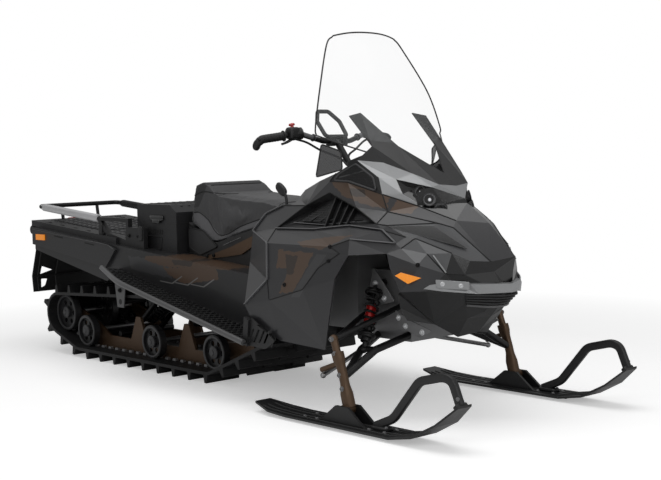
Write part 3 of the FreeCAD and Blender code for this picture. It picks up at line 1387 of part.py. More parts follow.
def build_ski(side, name):
    """The ski blade: a broad sole, a rib along its middle, a keel below and a saddle for the bolt."""
    half_shares = (0.55, 0.95, 1.0, 1.0, 0.95, 0.85, 0.5)
    sections = []
    y = side * float(S.ski_y)
    thick = float(S.ski_thickness)
    for (x, z), share in zip(ski_line(), half_shares):
        half = float(S.ski_half_width) * share
        sections.append([vec(x, y - half, z), vec(x, y + half, z), vec(x, y + half, z + thick),
                         vec(x, y - half, z + thick)])
    blade = loft(sections)
    keel = Part.makeBox(float(S.ski_length) * 0.5, thick, float(S.keel_depth) + thick / 2,
                        vec(SKI_TAIL_X + S.ski_length * 0.21, y - thick / 2, 0))
    cheeks = []
    for cheek in (-1, 1):
        inner = float(S.ski_saddle_half_width - S.ski_saddle_wall)
        low_y = y + (inner if cheek > 0 else -float(S.ski_saddle_half_width))
        length = float(S.ski_rib_height) * 4
        profile = [
            vec(SKI_BOLT_X - length, low_y, S.keel_depth), vec(SKI_BOLT_X + length, low_y, S.keel_depth),
            vec(SKI_BOLT_X + S.ski_rib_height, low_y, S.ski_bolt_z + S.spindle_radius),
            vec(SKI_BOLT_X - S.ski_rib_height, low_y, S.ski_bolt_z + S.spindle_radius),
        ]
        cheeks.append(Part.Face(Part.makePolygon(profile + profile[:1])).extrude(vec(0, S.ski_saddle_wall, 0)))
    bolt = rod(vec(SKI_BOLT_X, y - float(S.ski_saddle_half_width), S.ski_bolt_z),
               vec(SKI_BOLT_X, y + float(S.ski_saddle_half_width), S.ski_bolt_z), S.ski_bolt_radius)
    feature("ski_" + name, fuse([blade, keel] + cheeks + [bolt]))
    build_ski_loop(side, name)


def build_ski_loop(side, name):
    """The hoop handle over the front of the ski."""
    y = side * float(S.ski_y)
    tail, length, tip = float(SKI_TAIL_X), float(S.ski_length), float(S.ski_tip_z)
    radius, keel = float(S.ski_loop_radius), float(S.keel_depth)
    foot_z = keel + float(S.ski_thickness) + float(S.ball_gap) + radius
    end_z = keel + (tip - keel) * 0.86 + float(S.ski_thickness) * 1.3 + radius * 0.82
    points = [
        vec(tail + length * 0.60, y, foot_z), vec(tail + length * 0.69, y, foot_z),
        vec(tail + length * 0.80, y, tip * 1.10), vec(tail + length * 0.92, y, tip * 1.53),
        vec(tail + length * 0.985, y, tip * 1.35), vec(tail + length * 0.985, y, end_z),
    ]
    feature("ski_loop_" + name, tube(points, S.ski_loop_radius, S.ski_rib_height))


# Handlebar

def column_axis():
    """Direction of the steering column: up and back."""
    lean = math.radians(float(S.column_angle))
    return vec(-math.sin(lean), 0, math.cos(lean))


def build_handlebar():
    """The bent bar on its column, the grips, the control pods and the grab loop."""
    head = vec(COLUMN_X, 0, COLUMN_Z)
    foot = head - column_axis() * float(S.column_length)
    reach = float(S.bar_half_width)
    grip = float(S.grip_length)
    drop = float(S.bar_radius)
    end = vec(float(COLUMN_X) - reach * 0.17, reach, float(COLUMN_Z) + drop)
    knee = vec(float(COLUMN_X) - reach * 0.05, reach * 0.52, float(COLUMN_Z) + reach * 0.09)
    root = vec(float(COLUMN_X), reach * 0.2, float(COLUMN_Z))
    points = [vec(p.x, -p.y, p.z) for p in (end, knee, root)] + [root, knee, end]
    bar = tube(points, S.bar_radius, S.rack_corner_radius)
    column = rod(foot, head, S.column_radius)
    feature("handlebar", fuse([bar, column]))
    along = (end - knee).normalize()
    outer = end + along * float(S.ball_gap)
    sleeve = rod(end - along * grip, outer, S.grip_radius)
    core = rod(end - along * (grip + drop), end, S.bar_radius)
    feature("hand_grips", pair(sleeve.cut(core)))
    pod_low = end - along * (grip + reach * 0.22)
    pod = rod(pod_low, pod_low + along * (reach * 0.14), S.grip_radius * 1.5)
    feature("hand_controls", pair(pod.cut(bar)))
    half = float(S.loop_half_width)
    height = float(S.loop_height)
    base = head + vec(0, 0, float(S.bar_radius) + float(S.loop_tube_radius))
    up = column_axis()
    ring = [
        base + vec(0, -half, 0), base + vec(0, half, 0), base + vec(0, half * 1.05, 0) + up * (height * 0.6),
        base + vec(0, half * 0.5, 0) + up * height, base + vec(0, -half * 0.5, 0) + up * height,
        base + vec(0, -half * 1.05, 0) + up * (height * 0.6),
    ]
    feature("grab_loop", closed_tube(ring, S.loop_tube_radius, S.loop_tube_radius * 2))


def build_steering_frame(body):
    """The bearing of the steering column and the two struts that carry it on the front frame."""
    head = vec(COLUMN_X, 0, COLUMN_Z)
    low = head - column_axis() * float(S.column_length)
    high = low + column_axis() * (float(S.column_radius) * 3)
    ring = rod(low, high, S.column_radius * 2)
    foot = cowl(0.45, 0.25, 0.5703)
    struts = []
    for side in (-1, 1):
        end = vec(foot.x, side * foot.y, foot.z - float(S.column_radius))
        struts.append(rod(end, (low + high) * 0.5, S.column_radius))
    for side in (-1, 1):
        end = vec(foot.x, side * foot.y, foot.z - float(S.column_radius))
        stay = end + ((low + high) * 0.5 - end) * 0.15
        reach = body.points["u3"] + vec(0, S.panel_wall, 0)
        struts.append(rod(stay, vec(reach.x, side * reach.y, reach.z), S.column_radius * 0.7))
    trays = pair(body.sheet("side_louvres"))
    trim = Part.makeBox(float(S.cowl_length), float(S.cowl_half_width) * 2, float(S.cowl_height) * 0.5703,
                        vec(S.cowl_rear_x, -S.cowl_half_width, 0))
    bore = rod(low - column_axis() * float(S.column_radius), head, S.column_radius + S.ball_gap)
    feature("steering_frame", biggest(fuse([ring] + struts).cut([bore, trim, trays])))


def build_all():
    """Build every sub-part."""
    build_track()
    build_wheels()
    build_drive_axle()
    build_rails()
    build_rear_suspension()
    build_tunnel()
    build_running_boards()
    build_deck()
    build_rack()
    build_rack_brackets()
    build_cargo_box()
    build_seat()
    build_seat_braces()
    body = Cowl()
    build_console(body)
    build_panels(body)
    build_louvres(body)
    build_headlamps(body)
    build_windshield(body)
    build_front_bumper(body)
    build_engine()
    build_bulkhead()
    build_arms()
    build_shocks()
    for side, name in ((-1, "right"), (1, "left")):
        build_spindle(side, name)
        build_tie_rod(side, name)
        build_ski(side, name)
    build_handlebar()
    build_steering_frame(body)


def check_all():
    """Stop where an object or a sub-part failed."""
    doc.recompute()
    faults = []
    for item in doc.Objects:
        if "Invalid" in item.State or "Error" in item.State:
            faults.append("%s: %s" % (item.Name, item.State))
    for node in NODES:
        if node.Shape.isNull() or not node.Shape.isValid() or not node.Shape.Solids:
            faults.append("%s: shape" % node.Label)
    if faults:
        raise RuntimeError("; ".join(faults))


def write_all():
    """Write each sub-part to its own file."""
    os.makedirs("parts", exist_ok=True)
    for node in NODES:
        node.Shape.exportStep(os.path.join("parts", node.Label + ".step"))
        box = node.Shape.BoundBox
        print("%-22s %2d solids  x %7.1f %7.1f  y %7.1f %7.1f  z %7.1f %7.1f" % (
            node.Label, len(node.Shape.Solids), box.XMin, box.XMax, box.YMin, box.YMax, box.ZMin, box.ZMax))


build_all()
check_all()
write_all()
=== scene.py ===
import logging
import math
from dataclasses import dataclass
from enum import Enum
from typing import Callable, Dict, Iterable, List, Optional, Sequence, Tuple, Union

import bmesh
import bpy
import numpy as np
from mathutils import Matrix, Vector


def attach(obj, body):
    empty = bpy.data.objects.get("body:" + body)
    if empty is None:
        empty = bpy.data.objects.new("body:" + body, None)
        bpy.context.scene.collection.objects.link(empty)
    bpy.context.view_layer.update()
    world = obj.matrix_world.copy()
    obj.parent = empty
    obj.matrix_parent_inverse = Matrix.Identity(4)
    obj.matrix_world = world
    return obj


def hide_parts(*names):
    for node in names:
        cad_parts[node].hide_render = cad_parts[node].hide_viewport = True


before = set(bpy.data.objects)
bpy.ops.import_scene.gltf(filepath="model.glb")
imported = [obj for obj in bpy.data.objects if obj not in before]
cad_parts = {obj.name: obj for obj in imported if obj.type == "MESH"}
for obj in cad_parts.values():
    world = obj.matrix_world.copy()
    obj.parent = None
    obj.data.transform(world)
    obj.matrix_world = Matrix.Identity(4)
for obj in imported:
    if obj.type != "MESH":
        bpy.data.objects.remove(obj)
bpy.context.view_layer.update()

LOG = logging.getLogger("snowmobile")
Colour = Tuple[float, float, float]
Point = Tuple[float, float, float]
Row = Sequence[float]
SKEW = (0.31, 0.23, 0.92)
MARK_EDGE = 0.0012


def math_node(operation: str, flip: bool = False) -> Callable[["Wire", Union["Wire", float]], "Wire"]:
    """A method that adds one Math node.

    Args:
        operation: Name of the Math operation.
        flip: True where the other value comes first.

    Returns:
        The method, from the other value to the result.
    """
    def method(wire: "Wire", other: Union["Wire", float]) -> "Wire":
        """Add the node, and link or set both of its values.

        Args:
            wire: The value it belongs to.
            other: The other value.

        Returns:
            The node's result.
        """
        node = wire.tree.nodes.new("ShaderNodeMath")
        node.operation = operation
        for place, value in enumerate((other, wire) if flip else (wire, other)):
            if isinstance(value, Wire):
                wire.tree.links.new(value.socket, node.inputs[place])
            else:
                node.inputs[place].default_value = float(value)
        return Wire(wire.tree, node.outputs[0])
    return method


@dataclass(frozen=True)
class Wire:
    """One output in a shader tree, so that shader maths reads as a Python expression."""

    tree: bpy.types.NodeTree
    socket: bpy.types.NodeSocket
    __add__ = math_node("ADD")
    __sub__ = math_node("SUBTRACT")
    __rsub__ = math_node("SUBTRACT", True)
    __mul__ = math_node("MULTIPLY")
    __truediv__ = math_node("DIVIDE")
    __pow__ = math_node("POWER")
    lower = math_node("MINIMUM")
    higher = math_node("MAXIMUM")
    fold = math_node("PINGPONG")

    def clamp(self) -> "Wire":
        """The value kept between zero and one."""
        result = self + 0.0
        result.socket.node.use_clamp = True
        return result


class Painter:
    """Builds the shader tree of one material or world."""

    def __init__(self, owner: Union[bpy.types.Material, bpy.types.World]) -> None:
        """Empty the owner's tree.

        Args:
            owner: The material or world.
        """
        self.owner = owner
        owner.use_nodes = True
        self.tree = owner.node_tree
        self.tree.nodes.clear()

    def node(self, kind: str, settings: Optional[Dict[str, object]] = None,
             inputs: Optional[Dict[Union[str, int], object]] = None) -> bpy.types.Node:
        """Add any node.

        Args:
            kind: Type of the node, without its ShaderNode prefix.
            settings: Its properties.
            inputs: Values or wires for its sockets, by name or number.

        Returns:
            The node.
        """
        node = self.tree.nodes.new("ShaderNode" + kind)
        for key, value in (settings or {}).items():
            setattr(node, key, value)
        for key, value in (inputs or {}).items():
            socket = node.inputs[key]
            if isinstance(value, Wire):
                self.tree.links.new(value.socket, socket)
            elif isinstance(value, tuple) and socket.type == "RGBA":
                socket.default_value = (*value, 1.0)
            else:
                socket.default_value = value
        return node

    def wire(self, node: bpy.types.Node, output: Union[str, int] = 0) -> Wire:
        """One output of a node."""
        return Wire(self.tree, node.outputs[output])

    def place(self) -> Wire:
        """The point being shaded, in the object's own coordinates."""
        return self.wire(self.node("TexCoord"), "Object")

    def split(self, point: Wire) -> List[Wire]:
        """A point's x, y and z."""
        node = self.node("SeparateXYZ", None, {0: point})
        return [self.wire(node, axis) for axis in range(3)]

    def stretched(self, scale: Point, turn: Point = (0.0, 0.0, 0.0)) -> Wire:
        """The object's coordinates, turned and then scaled along each axis."""
        return self.wire(self.node("Mapping", None, {"Vector": self.place(), "Scale": scale, "Rotation": turn}))

    def noise(self, scale: float, detail: float = 4.0, rough: float = 0.55, point: Optional[Wire] = None) -> Wire:
        """Smooth noise between zero and one.

        Args:
            scale: Blotches per metre.
            detail: Octaves.
            rough: Share that each finer octave keeps.
            point: Where it is read, if not at the object's coordinates.

        Returns:
            The noise value.
        """
        return self.wire(self.node("TexNoise", None, {"Vector": point or self.place(), "Scale": scale,
                                                      "Detail": detail, "Roughness": rough}))

    def cells(self, scale: float, feature: str = "F1") -> Wire:
        """Distance to the nearest of many scattered points, or to the edge between two, as pebbled grain."""
        return self.wire(self.node("TexVoronoi", {"feature": feature}, {"Vector": self.place(), "Scale": scale}),
                         "Distance")

    def blend(self, factor: Wire, first: Union[Wire, Colour], second: Union[Wire, Colour]) -> Wire:
        """Mix two colours, by the second one's share."""
        return self.wire(self.node("Mix", {"data_type": "RGBA"}, {0: factor, 6: first, 7: second}), 2)

    def bump(self, height: Wire, strength: float, distance: float) -> Wire:
        """The normal bent by a height between zero and one, of a given depth in metres."""
        return self.wire(self.node("Bump", None, {"Height": height, "Strength": strength, "Distance": distance}))

    def region(self, mark: "Mark") -> Wire:
        """How far a mark covers the point: its least distance to the mark's edges, in steps of MARK_EDGE.

        Args:
            mark: The painted shape; a ragged one has its edge pushed in and out by noise.

        Returns:
            One inside and zero outside.
        """
        ring = np.array(mark.corners)
        beside = np.roll(ring, -1, 0)
        turn = np.sign(np.sum(ring[:, 0] * beside[:, 1] - ring[:, 1] * beside[:, 0]))
        edge = (beside - ring) * turn
        inward = np.stack([-edge[:, 1], edge[:, 0]], axis=1) / np.linalg.norm(edge, axis=1, keepdims=True)
        inside = None
        for (x, z), start in zip(inward.tolist(), np.sum(inward * ring, axis=1).tolist()):
            dot = self.node("VectorMath", {"operation": "DOT_PRODUCT"}, {0: self.place(), 1: (x, 0.0, z)})
            reach = self.wire(dot, "Value") - start
            inside = reach if inside is None else inside.lower(reach)
        if mark.ragged:
            inside = inside + (self.noise(34.0, 5.0, 0.62) - 0.5) * (2.0 * mark.ragged)
        return (inside / MARK_EDGE).clamp()

    def marked(self, tint: Wire, marks: Iterable["Mark"]) -> Wire:
        """A colour with marks painted over it in order."""
        for mark in marks:
            tint = self.blend(self.region(mark), tint, mark.colour)
        return tint

    def finish(self, **sockets: object) -> None:
        """Close the tree with a Principled shader, whose sockets are named with underscores for spaces."""
        shader = self.node("BsdfPrincipled", None, {key.replace("_", " "): value for key, value in sockets.items()})
        self.node("OutputMaterial", None, {"Surface": self.wire(shader)})


def shade(colour: Colour, share: float, lift: float = 0.0) -> Colour:
    """A colour times a share, lifted a little and kept at one or less."""
    return tuple(min(1.0, value * share + lift) for value in colour)


@dataclass(frozen=True)
class Mark:
    """A painted shape in side view: a convex outline in x and z, filled with one colour."""

    corners: Tuple[Tuple[float, float], ...]
    colour: Colour
    ragged: float = 0.0


@dataclass(frozen=True)
class Finish:
    """A surface finish; each kind adds its own pattern in dress()."""

    name: str
    slot: str
    colour: Colour

    def dress(self, p: Painter) -> None:
        """Build the shader tree."""
        raise NotImplementedError

    def material(self) -> bpy.types.Material:
        """The finish's material, built the first time it is asked for."""
        if self.name not in bpy.data.materials:
            self.dress(Painter(bpy.data.materials.new(self.name)))
        return bpy.data.materials[self.name]


@dataclass(frozen=True)
class MouldedPlastic(Finish):
    """Moulded plastic: pebbled grain, uneven sheen and a tone that varies with noise."""

    roughness: float = 0.45
    grain: float = 900.0
    depth: float = 0.0003

    def dress(self, p: Painter) -> None:
        """Grain from scattered cells, sheen and tint from two scales of noise.

        Args:
            p: Builds the shader tree.
        """
        grain = p.cells(self.grain)
        broad = p.noise(5.0, 5.0)
        fine = p.noise(140.0, 3.0)
        tint = p.blend((broad * 0.7 + fine * 0.3).clamp(), shade(self.colour, 0.82), shade(self.colour, 1.14, 0.002))
        p.finish(Base_Color=tint, Roughness=(broad * 0.16 + fine * 0.06 + (self.roughness - 0.11)).clamp(),
                 Normal=p.bump(grain * 0.7 + fine * 0.3, 0.5, self.depth))


@dataclass(frozen=True)
class PaintedPanel(Finish):
    """Painted bodywork: faint orange peel under a clear coat, fine flake and light scuffs."""

    roughness: float = 0.36
    coat: float = 0.35
    metallic: float = 0.25
    flake: float = 0.12
    marks: Tuple[Mark, ...] = ()

    def dress(self, p: Painter) -> None:
        """Flake from small cells, scuffs from stretched noise, peel in the bump.

        Args:
            p: Builds the shader tree.
        """
        flake = p.cells(2600.0)
        peel = p.noise(260.0, 2.0)
        broad = p.noise(3.0, 4.0)
        scuff = (p.noise(60.0, 6.0, 0.7, p.stretched((1.0, 0.25, 4.0), (0.3, 0.2, 0.5))) - 0.62).clamp()
        tint = p.blend((broad * 0.75 + flake * self.flake).clamp(), shade(self.colour, 0.85),
                       shade(self.colour, 1.18, 0.004))
        p.finish(Base_Color=p.marked(tint, self.marks), Metallic=self.metallic, Coat_Weight=self.coat,
                 Roughness=(broad * 0.1 + scuff * 0.5 + (self.roughness - 0.05)).clamp(), Coat_Roughness=0.12,
                 Normal=p.bump(peel, 0.25, 0.00025))


@dataclass(frozen=True)
class Metal(Finish):
    """Bare or coated metal: fine drawn lines or casting grain, with tarnish in broad patches."""

    roughness: float = 0.3
    cast: bool = False
    metallic: float = 1.0

    def dress(self, p: Painter) -> None:
        """Cast skin from cells, or drawn lines from noise stretched along one axis.

        Args:
            p: Builds the shader tree.
        """
        broad = p.noise(7.0, 5.0)
        skin = p.cells(700.0) if self.cast else p.noise(1.0, 3.0, 0.6, p.stretched((6.0, 900.0, 900.0)))
        tint = p.blend((broad * 0.6 + skin * 0.35).clamp(), shade(self.colour, 0.78), self.colour)
        p.finish(Base_Color=tint, Roughness=(broad * 0.14 + skin * 0.12 + (self.roughness - 0.12)).clamp(),
                 Metallic=self.metallic,
                 Normal=p.bump(skin, 0.35 if self.cast else 0.15, 0.0004 if self.cast else 0.0001))


@dataclass(frozen=True)
class Rubber(Finish):
    """Moulded rubber: matt, faintly mottled, with a bloom of pale dust."""

    dust: Colour

    def dress(self, p: Painter) -> None:
        """Dust where broad noise is high, fine noise in the bump.

        Args:
            p: Builds the shader tree.
        """
        bloom = ((p.noise(16.0, 6.0, 0.65) - 0.5) * 2.2).clamp() * 0.35
        fine = p.noise(420.0, 3.0)
        p.finish(Base_Color=p.blend(bloom, self.colour, self.dust),
                 Roughness=(bloom * 0.4 + fine * 0.1 + 0.5).clamp(), Normal=p.bump(fine, 0.4, 0.0004))


@dataclass(frozen=True)
class Vinyl(Finish):
    """Seat vinyl: leather-like creases painted darker than the high spots between them as painted shade, and a soft
    sheen.
    """

    marks: Tuple[Mark, ...]

    def dress(self, p: Painter) -> None:
        """Creases from the gaps between cells, and broad noise in the sheen.

        Args:
            p: Builds the shader tree.
        """
        soft = (p.cells(330.0, "DISTANCE_TO_EDGE") * 9.0).clamp()
        broad = p.noise(9.0, 5.0)
        # Painted shade: the colour is darker in the creases between cells than on the high spots; broad noise varies
        # the tone.
        tint = p.blend((soft * 0.6 + broad * 0.4).clamp(), shade(self.colour, 0.7), shade(self.colour, 1.2))
        p.finish(Base_Color=p.marked(tint, self.marks), Roughness=(broad * 0.15 + 0.48 - soft * 0.06).clamp(),
                 Sheen_Weight=0.08, Normal=p.bump(soft, 0.35, 0.0005))


@dataclass(frozen=True)
class ClearPlastic(Finish):
    """Clear or tinted plastic sheet, with faint ripples and a dust haze."""

    alpha: float
    roughness: float
    haze: float

    def dress(self, p: Painter) -> None:
        """Haze from broad noise lifts the opacity, and ripples go in the bump.

        Args:
            p: Builds the shader tree.
        """
        haze = p.noise(4.0, 5.0)
        ripple = p.noise(18.0, 2.0)
        p.finish(Base_Color=p.blend(haze, self.colour, shade(self.colour, 0.9)),
                 Roughness=(haze * 0.05 + self.roughness).clamp(), Coat_Weight=0.3,
                 Alpha=(haze * self.haze + (self.alpha - self.haze / 2)).clamp(),
                 Normal=p.bump(ripple, 0.05, 0.0006))


@dataclass(frozen=True)
class LampLens(Finish):
    """A moulded lens with flutes behind a smooth face."""

    alpha: float = 1.0
    # glow is emission strength; on the amber finish it is painted glow.
    glow: float = 0.0

    def dress(self, p: Painter) -> None:
        """Flutes from folded coordinates, with painted shade between them.

        Args:
            p: Builds the shader tree.
        """
        across, along, _ = p.split(p.stretched((140.0, 140.0, 0.0)))
        flute = (across + along).fold(0.5) * 2.0
        mottle = p.noise(40.0, 3.0)
        # Painted shade: the lens colour is darker between the flutes.
        p.finish(Base_Color=p.blend((flute * 0.7 + mottle * 0.3).clamp(), shade(self.colour, 0.55), self.colour),
                 Roughness=(mottle * 0.08 + 0.08).clamp(), Alpha=self.alpha, Coat_Weight=0.6, Coat_Roughness=0.03,
                 Emission_Color=self.colour, Emission_Strength=self.glow, Normal=p.bump(flute, 0.3, 0.0008))


@dataclass(frozen=True)
class PierceGrid(Finish):
    """Black mesh or pierced board: round holes in rows, seen through by way of the opacity."""

    pitch: float
    hole: float
    flat: bool = False

    def dress(self, p: Painter) -> None:
        """Distance to the nearest hole from folded coordinates, clear inside it.

        Args:
            p: Builds the shader tree.
        """
        place = p.split(p.place())
        first, second = (place[axis].fold(self.pitch / 2) for axis in (0, 1 if self.flat else 2))
        solid = (((first ** 2.0 + second ** 2.0) ** 0.5 - self.hole) / 0.0004).clamp()
        if self.flat:
            facing = p.split(p.wire(p.node("NewGeometry"), "Normal"))
            solid = (solid + (1.0 - ((facing[2] ** 2.0 - 0.5) * 8.0).clamp())).clamp()
        broad = p.noise(12.0, 4.0)
        grain = p.cells(700.0)
        p.finish(Base_Color=p.blend(broad, self.colour, shade(self.colour, 1.7, 0.003)), Alpha=solid,
                 Roughness=(broad * 0.2 + 0.42).clamp(), Normal=p.bump(grain, 0.4, 0.0004))


@dataclass(frozen=True)
class Form:
    """Points and faces of one closed surface."""

    points: np.ndarray
    faces: List[Sequence[int]]

    def mirrored(self) -> "Form":
        """The same form on the machine's other side, its y turned over."""
        return Form(self.points * np.array((1.0, -1.0, 1.0)), self.faces)


def lattice(grid: np.ndarray, loop: bool = False) -> Form:
    """Quads between rows of points: face (a, b), (a+1, b), (a+1, b+1), (a, b+1), each row closed on itself.

    Args:
        grid: Points by row, place in the row and axis.
        loop: True where the last row joins the first, as on a ring, and there are no end caps.

    Returns:
        The closed form.
    """
    rows, count = grid.shape[:2]
    first = np.arange(rows if loop else rows - 1)[:, None]
    place = np.arange(count)[None, :]
    after, beside = (first + 1) % rows, (place + 1) % count
    quads = np.stack([first * count + place, after * count + place, after * count + beside,
                      first * count + beside], axis=-1).reshape(-1, 4).tolist()
    if not loop:
        quads += [list(range(count)), list(range(rows * count - 1, (rows - 1) * count - 1, -1))]
    return Form(grid.reshape(-1, 3), quads)


def unit(vectors: np.ndarray) -> np.ndarray:
    """Vectors divided by their own lengths, along the last axis."""
    vectors = np.asarray(vectors, float)
    return vectors / np.maximum(np.linalg.norm(vectors, axis=-1, keepdims=True), 1e-9)


def spots(x: Union[float, np.ndarray], y: Union[float, np.ndarray], z: Union[float, np.ndarray]) -> np.ndarray:
    """Points from their coordinates, numbers or arrays, in every pairing that broadcasting gives."""
    return np.stack(np.broadcast_arrays(x, y, z), axis=-1).reshape(-1, 3)


def smooth_line(knots: Sequence[Row], steps: int = 8) -> np.ndarray:
    """A curve through knots: each span is the cubic whose end slopes are half the neighbours' difference.

    Args:
        knots: Rows of numbers, such as points.
        steps: Points per span.

    Returns:
        The rows along the curve.
    """
    known = np.asarray(knots, float)
    ends = np.vstack([2 * known[0] - known[1], known, 2 * known[-1] - known[-2]])
    before, start, stop, after = (ends[i:len(ends) - 3 + i, None] for i in range(4))
    t = np.linspace(0.0, 1.0, steps, endpoint=False)[None, :, None]
    line = 0.5 * (2 * start + (stop - before) * t + (2 * before - 5 * start + 4 * stop - after) * t ** 2
                  + (3 * start - before - 3 * stop + after) * t ** 3)
    return np.vstack([line.reshape(-1, known.shape[1]), known[-1:]])


def rounded(knots: Sequence[Row], radius: float, steps: int = 4, loop: bool = False) -> np.ndarray:
    """Straight runs whose corners are cut by quadratic arcs.

    Args:
        knots: The corners.
        radius: How far from its corner an arc starts, at most 0.45 of the run.
        steps: Spans per arc.
        loop: True where the last knot joins the first.

    Returns:
        The points of the line.
    """
    corner = np.asarray(knots, float)
    back, ahead = np.roll(corner, 1, 0) - corner, np.roll(corner, -1, 0) - corner
    start, stop = (corner + way * np.minimum(radius / np.maximum(np.linalg.norm(way, axis=1, keepdims=True), 1e-9),
                                             0.45) for way in (back, ahead))
    t = np.linspace(0.0, 1.0, steps + 1)[None, :, None]
    arcs = start[:, None] * (1 - t) ** 2 + 2 * corner[:, None] * t * (1 - t) + stop[:, None] * t ** 2
    if loop:
        return arcs.reshape(-1, corner.shape[1])
    return np.vstack([corner[:1], arcs[1:-1].reshape(-1, corner.shape[1]), corner[-1:]])


def sweep(path: Sequence[Row], profile: Sequence[Row], up: Point = SKEW, scale: Optional[np.ndarray] = None,
          loop: bool = False) -> Form:
    """A profile carried along a path: its x lies along tangent x up, its y along that side x tangent.

    Args:
        path: Points of the path.
        profile: Points of the closed section, side and high.
        up: A direction that is never along the path.
        scale: Scale of the section at each point of the path.
        loop: True where the path is closed.

    Returns:
        The swept form.
    """
    course = np.asarray(path, float)
    section = np.asarray(profile, float)
    way = np.roll(course, -1, 0) - np.roll(course, 1, 0) if loop else np.gradient(course, axis=0)
    tangent = unit(way)
    side = unit(np.cross(tangent, np.broadcast_to(np.asarray(up, float), course.shape)))
    high = np.cross(side, tangent)
    size = np.ones(len(course)) if scale is None else np.asarray(scale, float)
    grid = (course[:, None] + side[:, None] * section[None, :, :1] * size[:, None, None]
            + high[:, None] * section[None, :, 1:] * size[:, None, None])
    return lattice(grid, loop)


def oval(wide: float, high: float, sides: int = 12, power: float = 2.0) -> np.ndarray:
    """A closed section: cosine and sine raised to 2 / power, so 2 is an ellipse and 5 a rounded bar.

    Args:
        wide: Half width.
        high: Half height.
        sides: Number of points.
        power: Squareness.

    Returns:
        The section's points.
    """
    angle = np.linspace(0.0, 2 * np.pi, sides, endpoint=False) + np.pi / sides
    wave = np.stack([np.cos(angle), np.sin(angle)], axis=1)
    return np.sign(wave) * np.abs(wave) ** (2.0 / power) * np.array((wide, high))


def tube(path: Sequence[Row], radius: float, sides: int = 10, loop: bool = False) -> Form:
    """A round tube along a path."""
    return sweep(path, oval(radius, radius, sides), loop=loop)


def turned(profile: Sequence[Row], origin: Row, axis: Row, sides: int = 28, loop: bool = False) -> Form:
    """A profile of radius and height turned about an axis: origin + axis * height + ring direction * radius.

    Args:
        profile: Rows of radius and height.
        origin: The point where height is zero.
        axis: The axis, of any length.
        sides: Points round the axis.
        loop: True where the profile is closed, as on a ring.

    Returns:
        The turned form.
    """
    rows = np.asarray(profile, float)
    along = unit(np.asarray(axis, float))
    level = unit(np.cross(along, np.asarray(SKEW)))
    angle = np.linspace(0.0, 2 * np.pi, sides, endpoint=False)[:, None]
    spoke = np.cos(angle) * level + np.sin(angle) * np.cross(along, level)
    grid = np.asarray(origin, float) + rows[:, None, 1:] * along + rows[:, None, :1] * spoke[None]
    return lattice(grid, loop)


def hoop(radius: float, wide: float, high: float, origin: Row, axis: Row, sides: int = 40) -> Form:
    """A ring of oval section about an axis."""
    return turned(oval(wide, high, 10, 3.0) + np.array((radius, 0.0)), origin, axis, sides, True)


def bolt(origin: Row, axis: Row, radius: float) -> Form:
    """A washer and a domed head with a socket, turned about its axis."""
    rows = ((1.5, -0.6), (1.5, 0.2), (1.0, 0.25), (1.0, 0.85), (0.85, 1.0), (0.5, 1.0), (0.45, 0.5), (0.02, 0.5))
    return turned(np.array(rows) * radius, origin, axis, 18)


def plate(outline: Sequence[Row], thick: float, face: Row, rise: float = 0.0) -> Form:
    """A flat outline given thickness along its own normal.

    Args:
        outline: The corners in order.
        thick: The thickness.
        face: A direction on the plate's outer side.
        rise: How far the plate's middle is raised to that side.

    Returns:
        The plate.
    """
    ring = np.asarray(outline, float)
    normal = unit(np.cross(ring, np.roll(ring, -1, 0)).sum(axis=0))
    normal = normal * (1.0 if normal @ np.asarray(face, float) > 0 else -1.0)
    return lattice(np.stack([ring + normal * (rise - thick / 2), ring + normal * (rise + thick / 2)]))


def pebble(centre: Row, half: Row, power: float = 4.0, lean: float = 0.0) -> Form:
    """A rounded block: half size times cosines and sines raised to 2 / power, over latitude and longitude.

    Args:
        centre: Its middle.
        half: Its half sizes.
        power: Squareness, 2 being an ellipsoid.
        lean: Turn about y, in radians.

    Returns:
        The block.
    """
    high = np.linspace(-np.pi / 2, np.pi / 2, 15)[:, None]
    around = np.linspace(0.0, 2 * np.pi, 28, endpoint=False)[None, :]
    tall, flat, x, y = (np.sign(wave) * np.abs(wave) ** (2.0 / power)
                        for wave in (np.sin(high), np.cos(high), np.cos(around), np.sin(around)))
    shape = np.stack(np.broadcast_arrays(flat * x, flat * y, tall), axis=-1) * np.asarray(half, float)
    c, s = math.cos(lean), math.sin(lean)
    return lattice(shape @ np.array(((c, 0.0, -s), (0.0, 1.0, 0.0), (s, 0.0, c))) + np.asarray(centre, float))


def blocks(centres: np.ndarray, half: Row, along: Row = (1.0, 0.0, 0.0), high: Row = (0.0, 0.0, 1.0)) -> Form:
    """Many small tapered blocks: each has eight corners, and its top is 0.8 of its foot.

    Args:
        centres: The middle of each.
        half: Half length, width and height.
        along: Direction of the length, of all or of each.
        high: Direction of the height, of all or of each.

    Returns:
        One form with all of them.
    """
    middle = np.asarray(centres, float)
    length, upward = (np.broadcast_to(unit(way), middle.shape) for way in (along, high))
    side = np.cross(upward, length)
    sign = np.array(((-1, -1, -1), (1, -1, -1), (1, 1, -1), (-1, 1, -1), (-.8, -.8, 1), (.8, -.8, 1), (.8, .8, 1),
                     (-.8, .8, 1))) * np.asarray(half, float)
    grid = (middle[:, None] + sign[None, :, :1] * length[:, None] + sign[None, :, 1:2] * side[:, None]
            + sign[None, :, 2:] * upward[:, None])
    one = np.array(((0, 3, 2, 1), (4, 5, 6, 7), (0, 1, 5, 4), (1, 2, 6, 5), (2, 3, 7, 6), (3, 0, 4, 7)))
    faces = (one[None] + 8 * np.arange(len(middle))[:, None, None]).reshape(-1, 4).tolist()
    return Form(grid.reshape(-1, 3), faces)


